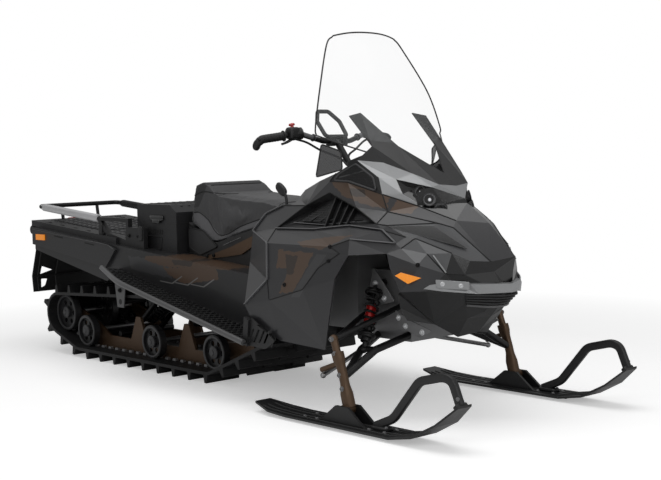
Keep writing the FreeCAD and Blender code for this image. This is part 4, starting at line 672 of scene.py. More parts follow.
def punched(outline: Sequence[Row], holes: Sequence[Sequence[Row]], thick: float, origin: Row, across: Row,
            up: Row) -> Form:
    """A flat plate with holes: the outline and the holes are filled between, then laid in a plane.

    Args:
        outline: Corners in the plate's own two axes.
        holes: Corners of each hole.
        thick: The thickness.
        origin: Where the plate's own axes meet.
        across: Direction of its first axis.
        up: Direction of its second axis.

    Returns:
        The plate.
    """
    curve = bpy.data.curves.new("punched", "CURVE")
    curve.dimensions, curve.fill_mode, curve.extrude = "2D", "BOTH", thick / 2
    for ring in (outline, *holes):
        spline = curve.splines.new("POLY")
        spline.points.add(len(ring) - 1)
        spline.points.foreach_set("co", np.column_stack([ring, np.zeros(len(ring)), np.ones(len(ring))]).ravel())
        spline.use_cyclic_u = True
    holder = bpy.data.objects.new("punched", curve)
    mesh = bpy.data.meshes.new_from_object(holder)
    flat = read_points(mesh)
    first, second = unit(across), unit(up)
    points = (np.asarray(origin, float) + flat[:, :1] * first + flat[:, 1:2] * second
              + flat[:, 2:] * np.cross(first, second))
    faces = [tuple(face.vertices) for face in mesh.polygons]
    bpy.data.objects.remove(holder)
    bpy.data.meshes.remove(mesh)
    return Form(points, faces)


def read_points(mesh: bpy.types.Mesh) -> np.ndarray:
    """All the points of a mesh, as rows.

    Args:
        mesh: The mesh to read.

    Returns:
        Its points, in its own coordinates.
    """
    points = np.empty(len(mesh.vertices) * 3)
    mesh.vertices.foreach_get("co", points)
    return points.reshape(-1, 3)


def both(*forms: Form) -> List[Form]:
    """The forms and their mirror images."""
    return [*forms, *(form.mirrored() for form in forms)]


def laid(node: Union[str, bpy.types.Object], points: Sequence[Row], course: Row, lift: float = 0.0) -> np.ndarray:
    """Points moved along a course until they meet an object's surface.

    Args:
        node: The object, or the name of a CAD node.
        points: Where each starts, outside it.
        course: The direction to look in.
        lift: How far short of the surface each stops.

    Returns:
        The points on the surface; one that meets nothing is left out.
    """
    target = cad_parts[node] if isinstance(node, str) else node
    way = Vector(course).normalized()
    met = [target.ray_cast(Vector(point), way) for point in points]
    return np.array([tuple(hit[1] - way * lift) for hit in met if hit[0]]).reshape(-1, 3)


def linked(name: str, data: bpy.types.ID) -> bpy.types.Object:
    """A new object of some data, put in the scene.

    Args:
        name: The object's name.
        data: Its mesh, light or camera.

    Returns:
        The object.
    """
    item = bpy.data.objects.new(name, data)
    bpy.context.scene.collection.objects.link(item)
    return item


def add_piece(name: str, forms: Sequence[Form], finish: "Finishes", body: str = "chassis", bevel: float = 0.0,
              replaces: Sequence[str] = ()) -> None:
    """Make one object from forms, and seat it on a body.

    Args:
        name: Name of the piece.
        forms: What it is made of.
        finish: Its finish.
        body: The body that carries it.
        bevel: Width of its rounded edges.
        replaces: CAD nodes that it stands for.
    """
    starts = np.cumsum([0] + [len(form.points) for form in forms])
    faces = [[place + start for place in face] for form, start in zip(forms, starts.tolist()) for face in form.faces]
    mesh = bpy.data.meshes.new(name)
    mesh.from_pydata(np.vstack([form.points for form in forms]).tolist(), [], faces)
    work = bmesh.new()
    work.from_mesh(mesh)
    bmesh.ops.remove_doubles(work, verts=work.verts, dist=1e-6)
    bmesh.ops.recalc_face_normals(work, faces=work.faces)
    work.to_mesh(mesh)
    work.free()
    mesh.polygons.foreach_set("use_smooth", np.ones(len(mesh.polygons), dtype=bool))
    mesh.set_sharp_from_angle(angle=math.radians(35.0))
    mesh.materials.append(finish.value.material())
    piece = linked(name, mesh)
    if bevel:
        edge = piece.modifiers.new("edges", "BEVEL")
        edge.width, edge.segments, edge.limit_method = bevel, 2, "ANGLE"
    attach(piece, body)
    if replaces:
        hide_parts(*replaces)
    LOG.info("%s: %d faces on %s", name, len(mesh.polygons), body)


BROWN = (0.07, 0.04, 0.023)
DARK_BROWN = (0.026, 0.017, 0.012)
SMOKE_GREY = (0.036, 0.036, 0.038)
PALE_GREY = (0.16, 0.158, 0.155)
SEAT_GREY = (0.105, 0.105, 0.11)
DASHES = (-0.398, -0.276, -0.154)
BODY_MARKS = (
    Mark(((0.745, 0.925), (0.833, 0.932), (0.99, 0.89), (1.04, 0.875), (1.056, 0.815), (0.965, 0.838),
          (0.845, 0.862)), BROWN, 0.016),
    Mark(((0.855, 0.905), (0.93, 0.895), (0.955, 0.862), (0.88, 0.872)), DARK_BROWN, 0.012),
    Mark(((1.061, 0.862), (1.13, 0.846), (1.13, 0.8), (1.064, 0.812)), BROWN, 0.01),
    Mark(((0.7, 0.69), (0.872, 0.718), (1.006, 0.727), (0.948, 0.7), (0.86, 0.668), (0.741, 0.672)), BROWN,
         0.01),
    Mark(((0.588, 0.652), (0.818, 0.655), (0.776, 0.585), (0.59, 0.58)), BROWN, 0.016),
    Mark(((0.679, 0.6), (0.79, 0.6), (0.706, 0.488), (0.623, 0.482)), BROWN, 0.016),
    Mark(((0.64, 0.64), (0.72, 0.635), (0.7, 0.56), (0.66, 0.56)), DARK_BROWN, 0.014),
    Mark(((0.833, 0.648), (0.896, 0.65), (0.747, 0.472), (0.695, 0.468)), SMOKE_GREY, 0.0),
)
TUNNEL_MARKS = (
    Mark(((-0.66, 0.56), (-0.3, 0.555), (-0.3, 0.47), (-0.64, 0.495)), SMOKE_GREY, 0.014),
    Mark(((-0.52, 0.585), (-0.24, 0.58), (0.2, 0.6), (0.2, 0.54), (-0.34, 0.522), (-0.52, 0.548)), BROWN,
         0.014),
    Mark(((-0.368, 0.52), (0.04, 0.545), (0.06, 0.49), (-0.205, 0.452), (-0.328, 0.487)), BROWN, 0.016),
    Mark(((-0.3, 0.56), (-0.12, 0.565), (-0.15, 0.535), (-0.28, 0.535)), DARK_BROWN, 0.012),
    *(Mark(((x, 0.458), (x + 0.1, 0.452), (x + 0.1, 0.446), (x, 0.452)), PALE_GREY) for x in DASHES),
    *(Mark(((x + 0.096, 0.452), (x + 0.176, 0.49), (x + 0.182, 0.486), (x + 0.102, 0.446)), PALE_GREY)
      for x in DASHES),
)
SEAT_MARKS = (
    Mark(((-0.317, 0.768), (-0.32, 0.697), (-0.129, 0.61), (-0.109, 0.668), (-0.2, 0.737), (-0.264, 0.773)),
         SEAT_GREY),
    Mark(((-0.129, 0.61), (0.108, 0.68), (0.32, 0.77), (0.309, 0.781), (0.182, 0.757), (0.037, 0.721),
          (-0.109, 0.668)), SEAT_GREY),
    Mark(((-0.36, 0.79), (-0.27, 0.8), (-0.225, 0.87), (-0.18, 0.96), (-0.36, 0.96)), (0.007, 0.007, 0.008)),
)


class Finishes(Enum):
    """The finishes of this machine."""

    CHARCOAL = PaintedPanel("charcoal_panel", "panel_grey", (0.019, 0.019, 0.021), 0.36, 0.3, 0.15, 0.15)
    PATCHED = PaintedPanel("patched_panel", "panel_grey", (0.019, 0.019, 0.021), 0.36, 0.3, 0.15, 0.15, BODY_MARKS)
    SHOULDER = PaintedPanel("shoulder_panel", "panel_light", (0.03, 0.03, 0.032), 0.36, 0.3, 0.15, 0.15, BODY_MARKS)
    TUNNEL = PaintedPanel("tunnel_panel", "tunnel_black", (0.012, 0.012, 0.013), 0.42, 0.2, 0.1, 0.1, TUNNEL_MARKS)
    GLOSS_BLACK = PaintedPanel("black_gloss", "gloss_black", (0.003, 0.003, 0.0033), 0.16, 0.6, 0.0, 0.02)
    LIGHT_PANEL = PaintedPanel("light_panel", "panel_light", (0.075, 0.076, 0.079), 0.34, 0.35, 0.2, 0.2)
    SILVER_GREY = PaintedPanel("silver_grey", "tube_silver", (0.085, 0.085, 0.087), 0.36, 0.3, 0.3, 0.2)
    # EDGE_GREY is painted highlight in the strips along the cowl's edges; it also colours the bar sleeves.
    EDGE_GREY = PaintedPanel("edge_grey", "panel_light", (0.15, 0.15, 0.155), 0.34, 0.3, 0.3, 0.2)
    MID_GREY = PaintedPanel("mid_grey", "tube_silver", (0.052, 0.052, 0.054), 0.4, 0.2, 0.2, 0.2)
    BRIGHT_SILVER = PaintedPanel("bright_silver", "tube_silver", (0.3, 0.305, 0.31), 0.32, 0.3, 0.5, 0.2)
    RED_PLASTIC = PaintedPanel("red_plastic", "plastic_black", (0.55, 0.015, 0.012), 0.3, 0.5, 0.0, 0.1)
    RED_METAL = PaintedPanel("red_metal", "shock_metal", (0.42, 0.014, 0.012), 0.25, 0.6, 0.5, 0.2)
    BLACK_PLASTIC = MouldedPlastic("black_plastic", "plastic_black", (0.0065, 0.0065, 0.007), 0.45)
    DECK_PLASTIC = MouldedPlastic("deck_plastic", "plastic_black", (0.01, 0.01, 0.011), 0.48, 600.0, 0.0005)
    PANEL_PLASTIC = MouldedPlastic("panel_plastic", "panel_grey", (0.021, 0.021, 0.022), 0.44)
    SEAM_BLACK = MouldedPlastic("seam_black", "plastic_black", (0.0012, 0.0012, 0.0012), 0.7)
    MESH = PierceGrid("vent_mesh", "plastic_black", (0.005, 0.005, 0.0055), 0.009, 0.0026)
    BOARD = PierceGrid("board_grid", "tunnel_black", (0.006, 0.006, 0.0065), 0.03, 0.0085, True)
    GRIP_RUBBER = Rubber("rubber_grip", "grip_rubber", (0.004, 0.004, 0.0045), (0.014, 0.014, 0.014))
    FLAP_RUBBER = Rubber("rubber_flap", "flap_rubber", (0.004, 0.004, 0.0045), (0.02, 0.02, 0.019))
    TRACK_RUBBER = Rubber("rubber_track", "track_rubber", (0.0035, 0.0035, 0.004), (0.022, 0.021, 0.02))
    WHEEL_GREY = MouldedPlastic("wheel_grey", "wheel_rubber", (0.014, 0.014, 0.015), 0.42)
    RIM_GREY = MouldedPlastic("rim_grey", "wheel_rubber", (0.045, 0.045, 0.047), 0.4)
    BRONZE = Metal("bronze_paint", "rail_bronze", (0.105, 0.062, 0.035), 0.42, True, 0.5)
    CAST_GREY = Metal("cast_grey", "cast_alloy", (0.26, 0.26, 0.265), 0.42, True, 0.6)
    # Partly painted reflection: the near rack rail is pale bare alloy, drawn as matt near-white plastic so its colour
    # also carries the metal's reflection.
    RAIL_PAINTED_REFLECTION = MouldedPlastic("rail_alloy_painted_reflection", "tube_silver", (0.56, 0.56, 0.57), 0.3)
    BRIGHT_ALLOY = Metal("bright_alloy", "tube_silver", (0.78, 0.79, 0.8), 0.28, False, 0.55)
    BLACK_STEEL = Metal("black_steel", "frame_black", (0.008, 0.008, 0.0085), 0.38, True, 0.4)
    STEEL = Metal("bare_steel", "steel", (0.34, 0.34, 0.345), 0.35, False, 0.95)
    SEAT_VINYL = Vinyl("vinyl_seat", "seat_vinyl", (0.04, 0.04, 0.042), SEAT_MARKS)
    SCREEN = ClearPlastic("sheet_screen", "clear_screen", (0.72, 0.75, 0.76), 0.045, 0.05, 0.02)
    SMOKE = ClearPlastic("smoke_screen", "clear_screen", (0.03, 0.03, 0.032), 0.82, 0.1, 0.0)
    # Painted glow: emission makes the front amber lenses and the rear reflectors shine, though nothing lights them from
    # inside.
    AMBER = LampLens("amber_lens_painted_glow", "amber", (0.95, 0.3, 0.02), 1.0, 0.35)
    RED_LENS = LampLens("red_lens", "amber", (0.5, 0.01, 0.01))
    LAMP_CLEAR = LampLens("lens_clear", "lamp_clear", (0.8, 0.83, 0.86), 0.28)
    LAMP_GLOW = LampLens("lamp_bulb", "lamp_clear", (0.95, 0.96, 1.0), 1.0, 0.2)


BLACK, SEAM = Finishes.BLACK_PLASTIC, Finishes.SEAM_BLACK
CORNERS: Dict[str, Point] = {
    "a1": (737, 256, 929), "a2": (842, 256, 926), "a3": (1018, 236, 879), "a4": (1059, 248, 812),
    "a5": (1060, 312, 768), "a6": (925, 290, 828), "a7": (749, 268, 884), "n1": (1124, 149, 832),
    "n2": (1273, 92, 775), "n3": (1096, 289, 762), "n4": (1230, 147, 767), "n5": (1283, 118, 750),
    "n6": (1431, 73, 623), "n7": (1250, 0, 838), "p1": (602, 270, 828), "p2": (454, 270, 825),
    "p3": (363, 290, 788), "p4": (297, 310, 714), "v1": (768, 250, 961), "v2": (896, 253, 1013),
    "v3": (996, 232, 944), "h1": (488, 340, 733), "h2": (732, 350, 738), "h3": (943, 345, 759),
    "h4": (1089, 311, 745), "h5": (1165, 258, 718), "h6": (1150, 298, 694), "h7": (1017, 415, 712),
    "h8": (915, 425, 681), "s1": (510, 410, 678), "s2": (537, 435, 528), "s3": (395, 445, 416),
    "s5": (557, 445, 447), "s6": (768, 445, 505), "s7": (853, 435, 596), "s8": (966, 425, 656),
    "k1": (1175, 296, 677), "k2": (1196, 240, 713), "k3": (1315, 164, 656), "k4": (1256, 238, 656),
    "k5": (1312, 198, 580), "k6": (1236, 270, 615), "k7": (1363, 146, 575), "g1": (1364, 147, 502),
    "g2": (1466, 36, 499), "g3": (1470, 0, 500), "g4": (1342, 121, 461), "g5": (1400, 55, 452),
    "g6": (1412, 0, 452), "u1": (612, 236, 812), "u2": (745, 245, 858), "u3": (915, 262, 808),
    "u4": (1010, 285, 775), "u6": (738, 300, 752), "u7": (560, 300, 755), "u5": (930, 300, 768),
    "t3": (944, 435, 554), "f1": (1137, 335, 658), "f3": (1180, 310, 511), "f5": (1242, 267, 604),
}


SIDES = (("right", -1), ("left", 1))


def at(*names: str) -> np.ndarray:
    """The cowl's named corners on the left side, in metres, in the order given."""
    return np.array([CORNERS[name] for name in names], float) / 1000.0


class Seat:
    """The seat: a cushion blown up by cloth simulation, with piping laid on it afterwards."""

    VOXEL = 0.008
    INSET = 0.006
    SWELL = 0.012
    PRESSURE = 4.0
    STEPS = 20
    BUMP_FRONT = -0.205
    SEAMS = ((BUMP_FRONT, "seat_rear_seam"), (0.285, "seat_front_seam"))
    PIPES = (((-0.33, 0.845), (-0.238, 0.872), (-0.12, 0.862), (0.001, 0.856), (0.18, 0.846), (0.33, 0.838)),
             ((-0.31, 0.773), (-0.264, 0.773), (-0.2, 0.737), (-0.112, 0.671), (0.037, 0.72), (0.182, 0.757),
              (0.3, 0.78)))

    def _start(self) -> bpy.types.Object:
        """The CAD cushion remeshed in small voxels, smoothed, drawn in, and lowered ahead of its rear bump.

        Returns:
            The object that the cloth works on.
        """
        rough = linked("seat_rough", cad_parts["seat_cushion"].data.copy())
        remesh = rough.modifiers.new("voxels", "REMESH")
        remesh.mode, remesh.voxel_size = "VOXEL", self.VOXEL
        smooth = rough.modifiers.new("smooth", "SMOOTH")
        smooth.factor, smooth.iterations = 0.5, 8
        mesh = bpy.data.meshes.new_from_object(rough.evaluated_get(bpy.context.evaluated_depsgraph_get()))
        bpy.data.objects.remove(rough)
        normals = np.empty(len(mesh.vertices) * 3)
        mesh.vertices.foreach_get("normal", normals)
        points = read_points(mesh) - normals.reshape(-1, 3) * self.INSET
        ahead = np.clip((points[:, 0] - self.BUMP_FRONT) / 0.09, 0.0, 1.0)
        points[:, 2] -= 0.024 * ahead * ahead * (3.0 - 2.0 * ahead) * np.clip((points[:, 2] - 0.79) / 0.09, 0.0, 1.0)
        mesh.vertices.foreach_set("co", points.ravel())
        mesh.polygons.foreach_set("use_smooth", np.ones(len(mesh.polygons), dtype=bool))
        return linked("seat_pad", mesh)

    def _swell(self, pad: bpy.types.Object) -> None:
        """Blow the pad up: its foot and its seam lines are pinned, and no point moves further than SWELL.

        Args:
            pad: The object from _start().
        """
        start = read_points(pad.data)
        line = np.interp(start[:, 0], *np.transpose(self.PIPES[0]))
        held = (start[:, 2] < start[:, 2].min() + 0.012) | (np.abs(start[:, 2] - line) < 0.005)
        held |= np.abs(start[:, 0] - self.BUMP_FRONT) < 0.005
        group = pad.vertex_groups.new(name="held")
        group.add(np.flatnonzero(held).tolist(), 1.0, "ADD")
        cloth = pad.modifiers.new("cloth", "CLOTH")
        cloth.settings.vertex_group_mass = "held"
        cloth.settings.use_pressure = True
        cloth.settings.uniform_pressure_force = self.PRESSURE
        cloth.settings.effector_weights.gravity = 0.0
        scene = bpy.context.scene
        for step in range(1, self.STEPS + 1):
            scene.frame_set(step)
        moved = bpy.data.meshes.new_from_object(pad.evaluated_get(bpy.context.evaluated_depsgraph_get()))
        shift = read_points(moved) - start
        length = np.linalg.norm(shift, axis=1, keepdims=True)
        shift *= np.minimum(1.0, self.SWELL / np.maximum(length, 1e-9))
        pad.modifiers.remove(cloth)
        scene.frame_set(1)
        pad.data.vertices.foreach_set("co", (start + shift).ravel())
        pad.data.update()
        bpy.data.meshes.remove(moved)

    def build(self) -> None:
        """Make the cushion, then its piping."""
        pad = self._start()
        self._swell(pad)
        pad.data.materials.clear()
        pad.data.materials.append(Finishes.SEAT_VINYL.value.material())
        fine = pad.modifiers.new("fine", "SUBSURF")
        fine.levels = fine.render_levels = 1
        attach(pad, "chassis")
        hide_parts("seat_cushion")
        LOG.info("seat_pad: %d faces", len(pad.data.polygons))
        pipes = []
        for row in self.PIPES:
            flat = smooth_line(row, 8)
            met = laid(pad, spots(flat[:, 0], 0.4, flat[:, 1]), (0, -1, 0), -0.0005)
            pipes.append(tube(met[met[:, 1] > 0.08], 0.0028, 8))
        add_piece("seat_piping", both(*pipes), SEAM)
        for place, name in self.SEAMS:
            above = spots(place, np.linspace(-0.15, 0.15, 25), 1.2)
            add_piece(name, [tube(laid(pad, above, (0, 0, -1), -0.0005), 0.003, 8)], SEAM)


class Windscreen:
    """The tall screen as one smooth sheet, its dark edge, and the smoky deflectors at its foot."""

    ROWS = ((0.777, 0.36, 1.115, 1.04, 0.985, 1.6), (0.775, 0.362, 1.149, 0.97, 1.13, 1.8),
            (0.75, 0.312, 1.3, 0.87, 1.32, 2.0), (0.692, 0.218, 1.482, 0.735, 1.5, 2.0),
            (0.687, 0.176, 1.522, 0.705, 1.541, 2.4))
    WING = ((0.783, 0.34, 1.08), (0.742, 0.336, 0.948), (0.821, 0.264, 0.977), (0.817, 0.266, 1.05))
    THICK = 0.003

    def _front(self) -> np.ndarray:
        """Front face: x and z run from the middle's to the side's by |out| ^ fullness, and y is the side's by out.

        Returns:
            Points by height and place across.
        """
        rows = smooth_line(self.ROWS, 8)
        out = np.linspace(-1.0, 1.0, 45)[None, :]
        full = np.abs(out) ** rows[:, 5:6]
        return np.stack([rows[:, 3:4] + (rows[:, :1] - rows[:, 3:4]) * full, rows[:, 1:2] * out,
                         rows[:, 4:5] + (rows[:, 2:3] - rows[:, 4:5]) * full], axis=-1)

    def build(self) -> None:
        """Make the sheet, its edge and the deflectors."""
        front = self._front()
        normal = unit(np.cross(np.gradient(front, axis=1), np.gradient(front, axis=0)))
        sheet = lattice(np.concatenate([front, (front - normal * self.THICK)[:, ::-1]], axis=1))
        add_piece("screen_sheet", [sheet], Finishes.SCREEN, replaces=("windshield",))
        edge = np.vstack([front[0], front[1:-1, -1], front[-1, ::-1], front[-2:0:-1, 0]])
        add_piece("screen_edge", [tube(edge, 0.0032, 8, True)], BLACK)
        wing = rounded(self.WING, 0.01, 3, True)
        add_piece("screen_wings", both(plate(wing, self.THICK, (1, 0, 0))), Finishes.SMOKE)
        add_piece("screen_wing_edges", both(tube(wing, 0.003, 8, True)), BLACK)


class Controls:
    """What is on the handlebar: grips with turned-down ends, pods, levers, button, clamps and cables."""

    END = np.array((0.4394, 0.386, 1.103))
    KNEE = np.array((0.4857, 0.2007, 1.1267))
    LEVERS = (("brake_lever", 1, ((0.022, 0.012, -0.008), (0.036, 0.045, -0.022), (0.03, 0.095, -0.038))),
              ("throttle_lever", -1, ((0.01, 0.01, -0.018), (0.004, 0.036, -0.032), (-0.006, 0.056, -0.04))))
    BUTTON = ((0.007, 0.0), (0.007, 0.008), (0.013, 0.01), (0.0135, 0.015), (0.011, 0.018), (0.0005, 0.019))

    def _grip(self) -> List[Form]:
        """One grip: its radius swells a little at each rib, and its outer end hooks down and back."""
        way = unit(self.END - self.KNEE)
        inner = self.END - way * 0.124
        knots = [inner, inner + way * 0.05, inner + way * 0.095, self.END - way * 0.018 + (-0.004, 0, -0.003),
                 self.END + (-0.014, -0.008, -0.016), self.END + (-0.03, -0.013, -0.036)]
        path = smooth_line(knots, 20)
        place = np.linspace(0.0, 1.0, len(path))
        size = 0.0172 + 0.0012 * np.abs(np.sin(place * 60.0)) * (place < 0.72)
        size *= 1.0 - 0.28 * np.clip((place - 0.86) / 0.14, 0.0, 1.0) ** 2
        body = sweep(path, oval(1.0, 1.0, 20), scale=size)
        flange = hoop(0.0195, 0.004, 0.003, inner + way * 0.004, way)
        return [body, flange]

    def build(self) -> None:
        """Make all of them, each riding on the handlebar."""
        way = unit(self.END - self.KNEE)
        seat = self.KNEE + way * 0.03
        add_piece("grips", both(*self._grip()), Finishes.GRIP_RUBBER, "handlebar", replaces=("hand_grips",))
        pods = [pebble(seat + (0.004, 0.0, 0.006), (0.024, 0.027, 0.026), 4.5),
                pebble(seat + (-0.018, 0.0, 0.012), (0.012, 0.021, 0.015), 3.0, 0.3)]
        add_piece("control_pods", both(*pods), BLACK, "handlebar")
        near = seat * (1, -1, 1)
        add_piece("stop_button", [turned(self.BUTTON, near + (-0.004, 0.004, 0.029), (-0.25, 0, 1))],
                  Finishes.RED_PLASTIC, "handlebar")
        rocker = [pebble(near + (-0.03, 0.0, 0.014), (0.005, 0.011, 0.008), 3.5, 0.3)]
        add_piece("rocker_switches", both(*rocker), Finishes.MID_GREY, "handlebar")
        for name, sign, steps in self.LEVERS:
            line = smooth_line((seat + np.array(steps)) * (1, sign, 1), 8)
            add_piece(name, [sweep(line, oval(0.0085, 0.004, 14, 3.0))], Finishes.BLACK_STEEL, "handlebar")
        clamp = [pebble((0.505, 0.034, 1.0925), (0.022, 0.014, 0.022), 6.0),
                 bolt((0.519, 0.034, 1.112), (0, 0, 1), 0.0045), bolt((0.491, 0.034, 1.112), (0, 0, 1), 0.0045)]
        add_piece("bar_clamps", both(*clamp), Finishes.BLACK_STEEL, "handlebar")
        sleeve = [tube(np.linspace(self.KNEE + (0.012, -0.08, -0.022), self.KNEE - way * 0.004, 6), 0.0118, 16)]
        add_piece("bar_sleeves", both(*sleeve), Finishes.EDGE_GREY, "handlebar")
        cable = [seat + (0.008, -0.014, -0.02), (0.498, 0.165, 1.088), (0.512, 0.105, 1.056), (0.53, 0.05, 1.034),
                 (0.556, 0.022, 1.014), (0.584, 0.016, 0.988)]
        add_piece("control_cables", both(tube(smooth_line(cable, 8), 0.0048, 10)), Finishes.GRIP_RUBBER, "handlebar")
        clips = [hoop(0.0135, 0.003, 0.004, (0.4975, 0.13, 1.1085), (-0.15, 1, 0.28))]
        add_piece("cable_clips", both(*clips), BLACK, "handlebar")


class Dash:
    """The display on the dash and the shift lever beside the seat."""

    RIM = ((0.64, 0.075), (0.64, -0.075), (0.735, -0.062), (0.735, 0.062))
    FOOT, RISE = 0.985, 0.32
    GLASS = 0.84
    STALK = ((0.425, -0.232, 0.8), (0.414, -0.215, 0.835), (0.392, -0.204, 0.868), (0.372, -0.2, 0.884))

    def build(self) -> None:
        """Make both."""
        rim = rounded(self.RIM, 0.018, 5, True)
        ring = np.column_stack([rim, self.FOOT + (rim[:, 0] - self.RIM[0][0]) * self.RISE])
        add_piece("display_housing", [plate(ring, 0.034, (0, 0, 1))], BLACK, bevel=0.003)
        face = (ring - ring.mean(axis=0)) * self.GLASS + ring.mean(axis=0)
        add_piece("display_glass", [plate(face, 0.003, (0, 0, 1), 0.0185)], Finishes.GLOSS_BLACK, bevel=0.001)
        add_piece("shift_stalk", [tube(smooth_line(self.STALK, 6), 0.0065, 12)], Finishes.BLACK_STEEL)
        add_piece("shift_paddle", [pebble((0.362, -0.2, 0.89), (0.037, 0.012, 0.021), 2.6, 0.65)], BLACK)
        add_piece("shift_gate", [pebble((0.425, -0.226, 0.812), (0.04, 0.02, 0.008), 4.0)], BLACK)


class CowlSeams:
    """Dark gaps between the cowl's panels: thin tubes along its named corner lines, and pale strips along some edges as
    painted highlights.
    """

    LINES = (("p1", "a7", "a6", "a5", "n3"), ("a1", "a2", "a3", "n1", "n2"), ("a3", "a4", "a5"),
             ("n3", "n4", "n5", "n6"), ("a4", "n4"), ("p2", "p1", "h1", "s1", "s2"), ("h1", "h2", "h3", "h4", "h5"),
             ("h4", "h6", "h7", "h8", "s8"), ("k1", "k2", "k3"), ("k4", "k5", "k7"),
             ("s2", "s5", "s6", "s7", "s8"), ("v1", "a1"), ("p2", "p3", "p4"))
    HIGHLIGHT_LINES = (("p2", "p3", "p4", "s1", "s2", "s3"), ("h1", "h2", "h3", "h4"), ("h4", "h6", "h7"), ("u7", "u6", "u5"))

    def build(self) -> None:
        """Make the seams and the painted edge highlights of both sides."""
        tubes = [tube(rounded(at(*line), 0.008, 3), 0.0026, 6) for line in self.LINES]
        add_piece("cowl_seams", both(*tubes), SEAM)
        # Painted highlights: pale grey strips along the cowl's edges and creases, where light catches them.
        highlights = [sweep(rounded(at(*line) + (0.004, 0.003, 0.003), 0.012, 4), oval(0.0022, 0.0055, 10, 4.0),
                        (0, 1, 0.2)) for line in self.HIGHLIGHT_LINES]
        add_piece("pillar_edge_highlights", both(*highlights), Finishes.EDGE_GREY)


class CowlTrim:
    """Trim on the cowl: vent frames and mesh, spear inlays, stripes, grille bars, ambers and bolts."""

    INLAY = ((1.096, 0.292, 0.757), (1.22, 0.166, 0.756), (1.359, 0.118, 0.668))
    STRIPE = ((1.273, 0.222, 0.65), (1.316, 0.199, 0.584))
    AMBER = ((1.172, 0.329, 0.575), (1.196, 0.32, 0.588), (1.25, 0.266, 0.566), (1.22, 0.308, 0.545))
    BUMPER = ((1.292, 0.233, 0.56), (1.386, 0.146, 0.55), (1.384, 0.144, 0.519), (1.294, 0.23, 0.527))
    BOLTS = ((1.315, 0.219, 0.543), (1.366, 0.172, 0.536))
    FOOTWELL = ((0.397, 0.253), (0.546, 0.244), (0.613, 0.285), (0.459, 0.372))
    SLOT = ((0.436, 0.272), (0.448, 0.271), (0.482, 0.33), (0.47, 0.332))

    def _inset(self, names: Sequence[str], share: float) -> np.ndarray:
        """Corners drawn towards their middle by a share."""
        ring = at(*names)
        return ring.mean(axis=0) + (ring - ring.mean(axis=0)) * share

    def build(self) -> None:
        """Make all of it."""
        vent = self._inset(("v1", "v2", "v3", "a3", "a2", "a1"), 0.8)
        ring = rounded(vent, 0.012, 4, True)
        add_piece("vent_mesh", both(plate(ring, 0.004, (0, 1, 0.4), 0.003)), Finishes.MESH)
        frame_line = ring + unit(np.array((0.1, 1.0, 0.3))) * 0.005
        divider = [(vent[0] + vent[5]) / 2 + (0.02, 0.006, 0), (vent[2] + vent[1]) / 2 + (0, 0.006, 0)]
        add_piece("vent_frames", both(tube(frame_line, 0.0035, 8, True),
                                      tube(np.linspace(divider[0], divider[1], 4), 0.003, 8)), Finishes.MID_GREY)
        louvre = self._inset(("u1", "u2", "u3", "u4", "u5", "u6", "u7"), 0.82)
        add_piece("louvre_mesh", both(plate(rounded(louvre, 0.015, 4, True), 0.004, (0, 1, 0.6), 0.004)), Finishes.MESH)
        ribs = [tube(np.linspace(louvre[6] * (1 - s) + louvre[4] * s + (0, 0.004, 0.004),
                                 louvre[0] * (1 - s) + louvre[3] * s + (0, 0.006, 0.006), 5), 0.004, 8)
                for s in (0.2, 0.4, 0.6, 0.8)]
        add_piece("louvre_ribs", both(*ribs), BLACK)
        add_piece("spear_inlays", both(plate(rounded(self.INLAY, 0.012, 4, True), 0.004, (1, 1, 0.5), 0.001)),
                  Finishes.GLOSS_BLACK, bevel=0.001)
        add_piece("cheek_stripes", both(sweep(np.linspace(*self.STRIPE, 5), oval(0.003, 0.006, 10, 4.0), (1, 1, 0))),
                  Finishes.BRIGHT_SILVER)
        add_piece("front_ambers", both(plate(self.AMBER, 0.008, (1, 1, 0), 0.001)), Finishes.AMBER, bevel=0.0015)
        halves = (at("g1", "g2", "g3"), at("g4", "g5", "g6"))
        top, foot = (np.vstack([half, (half * (1, -1, 1))[1::-1]]) for half in halves)
        bars = [sweep(rounded(top * (1 - share) + foot * share + (0.004, 0.0, 0.0), 0.02, 4),
                      oval(0.006, 0.0042, 12, 4.0), (0, 0, 1)) for share in (0.14, 0.38, 0.62, 0.86)]
        add_piece("grille_bars", bars, BLACK)
        add_piece("grille_lip", [tube(rounded(foot + (0.006, 0, -0.006), 0.03, 5), 0.005, 10)], Finishes.SILVER_GREY)
        add_piece("bumper_plates", both(plate(rounded(self.BUMPER, 0.005, 3, True), 0.004, (1, 1, 0), 0.004)),
                  Finishes.BRIGHT_SILVER, bevel=0.001)
        heads = [bolt(point, (0.68, 0.73, 0), 0.006) for point in self.BOLTS]
        add_piece("bumper_bolts", both(*heads), Finishes.BRIGHT_ALLOY)
        places = [(at("s7")[0] + at("s8")[0]) / 2, at("h8")[0], (at("s2")[0] + at("s6")[0]) / 2, at("k6")[0]]
        add_piece("panel_bolts", both(*(bolt(place + (0, 0.001, 0), (0.1, 1, 0.1), 0.006) for place in places)),
                  Finishes.BLACK_STEEL)
        outline = rounded(self.FOOTWELL, 0.014, 4, True)
        slots = [rounded(np.array(self.SLOT) + (s, 0.0), 0.004, 3, True) * (1.0, 0.92) + (0.0, 0.018)
                 for s in (0.0, 0.034, 0.068, 0.1)]
        add_piece("footwell_vents", both(punched(outline, slots, 0.005, (0, 0.462, 0), (1, 0, 0), (0, 0, 1))),
                  BLACK, bevel=0.001)


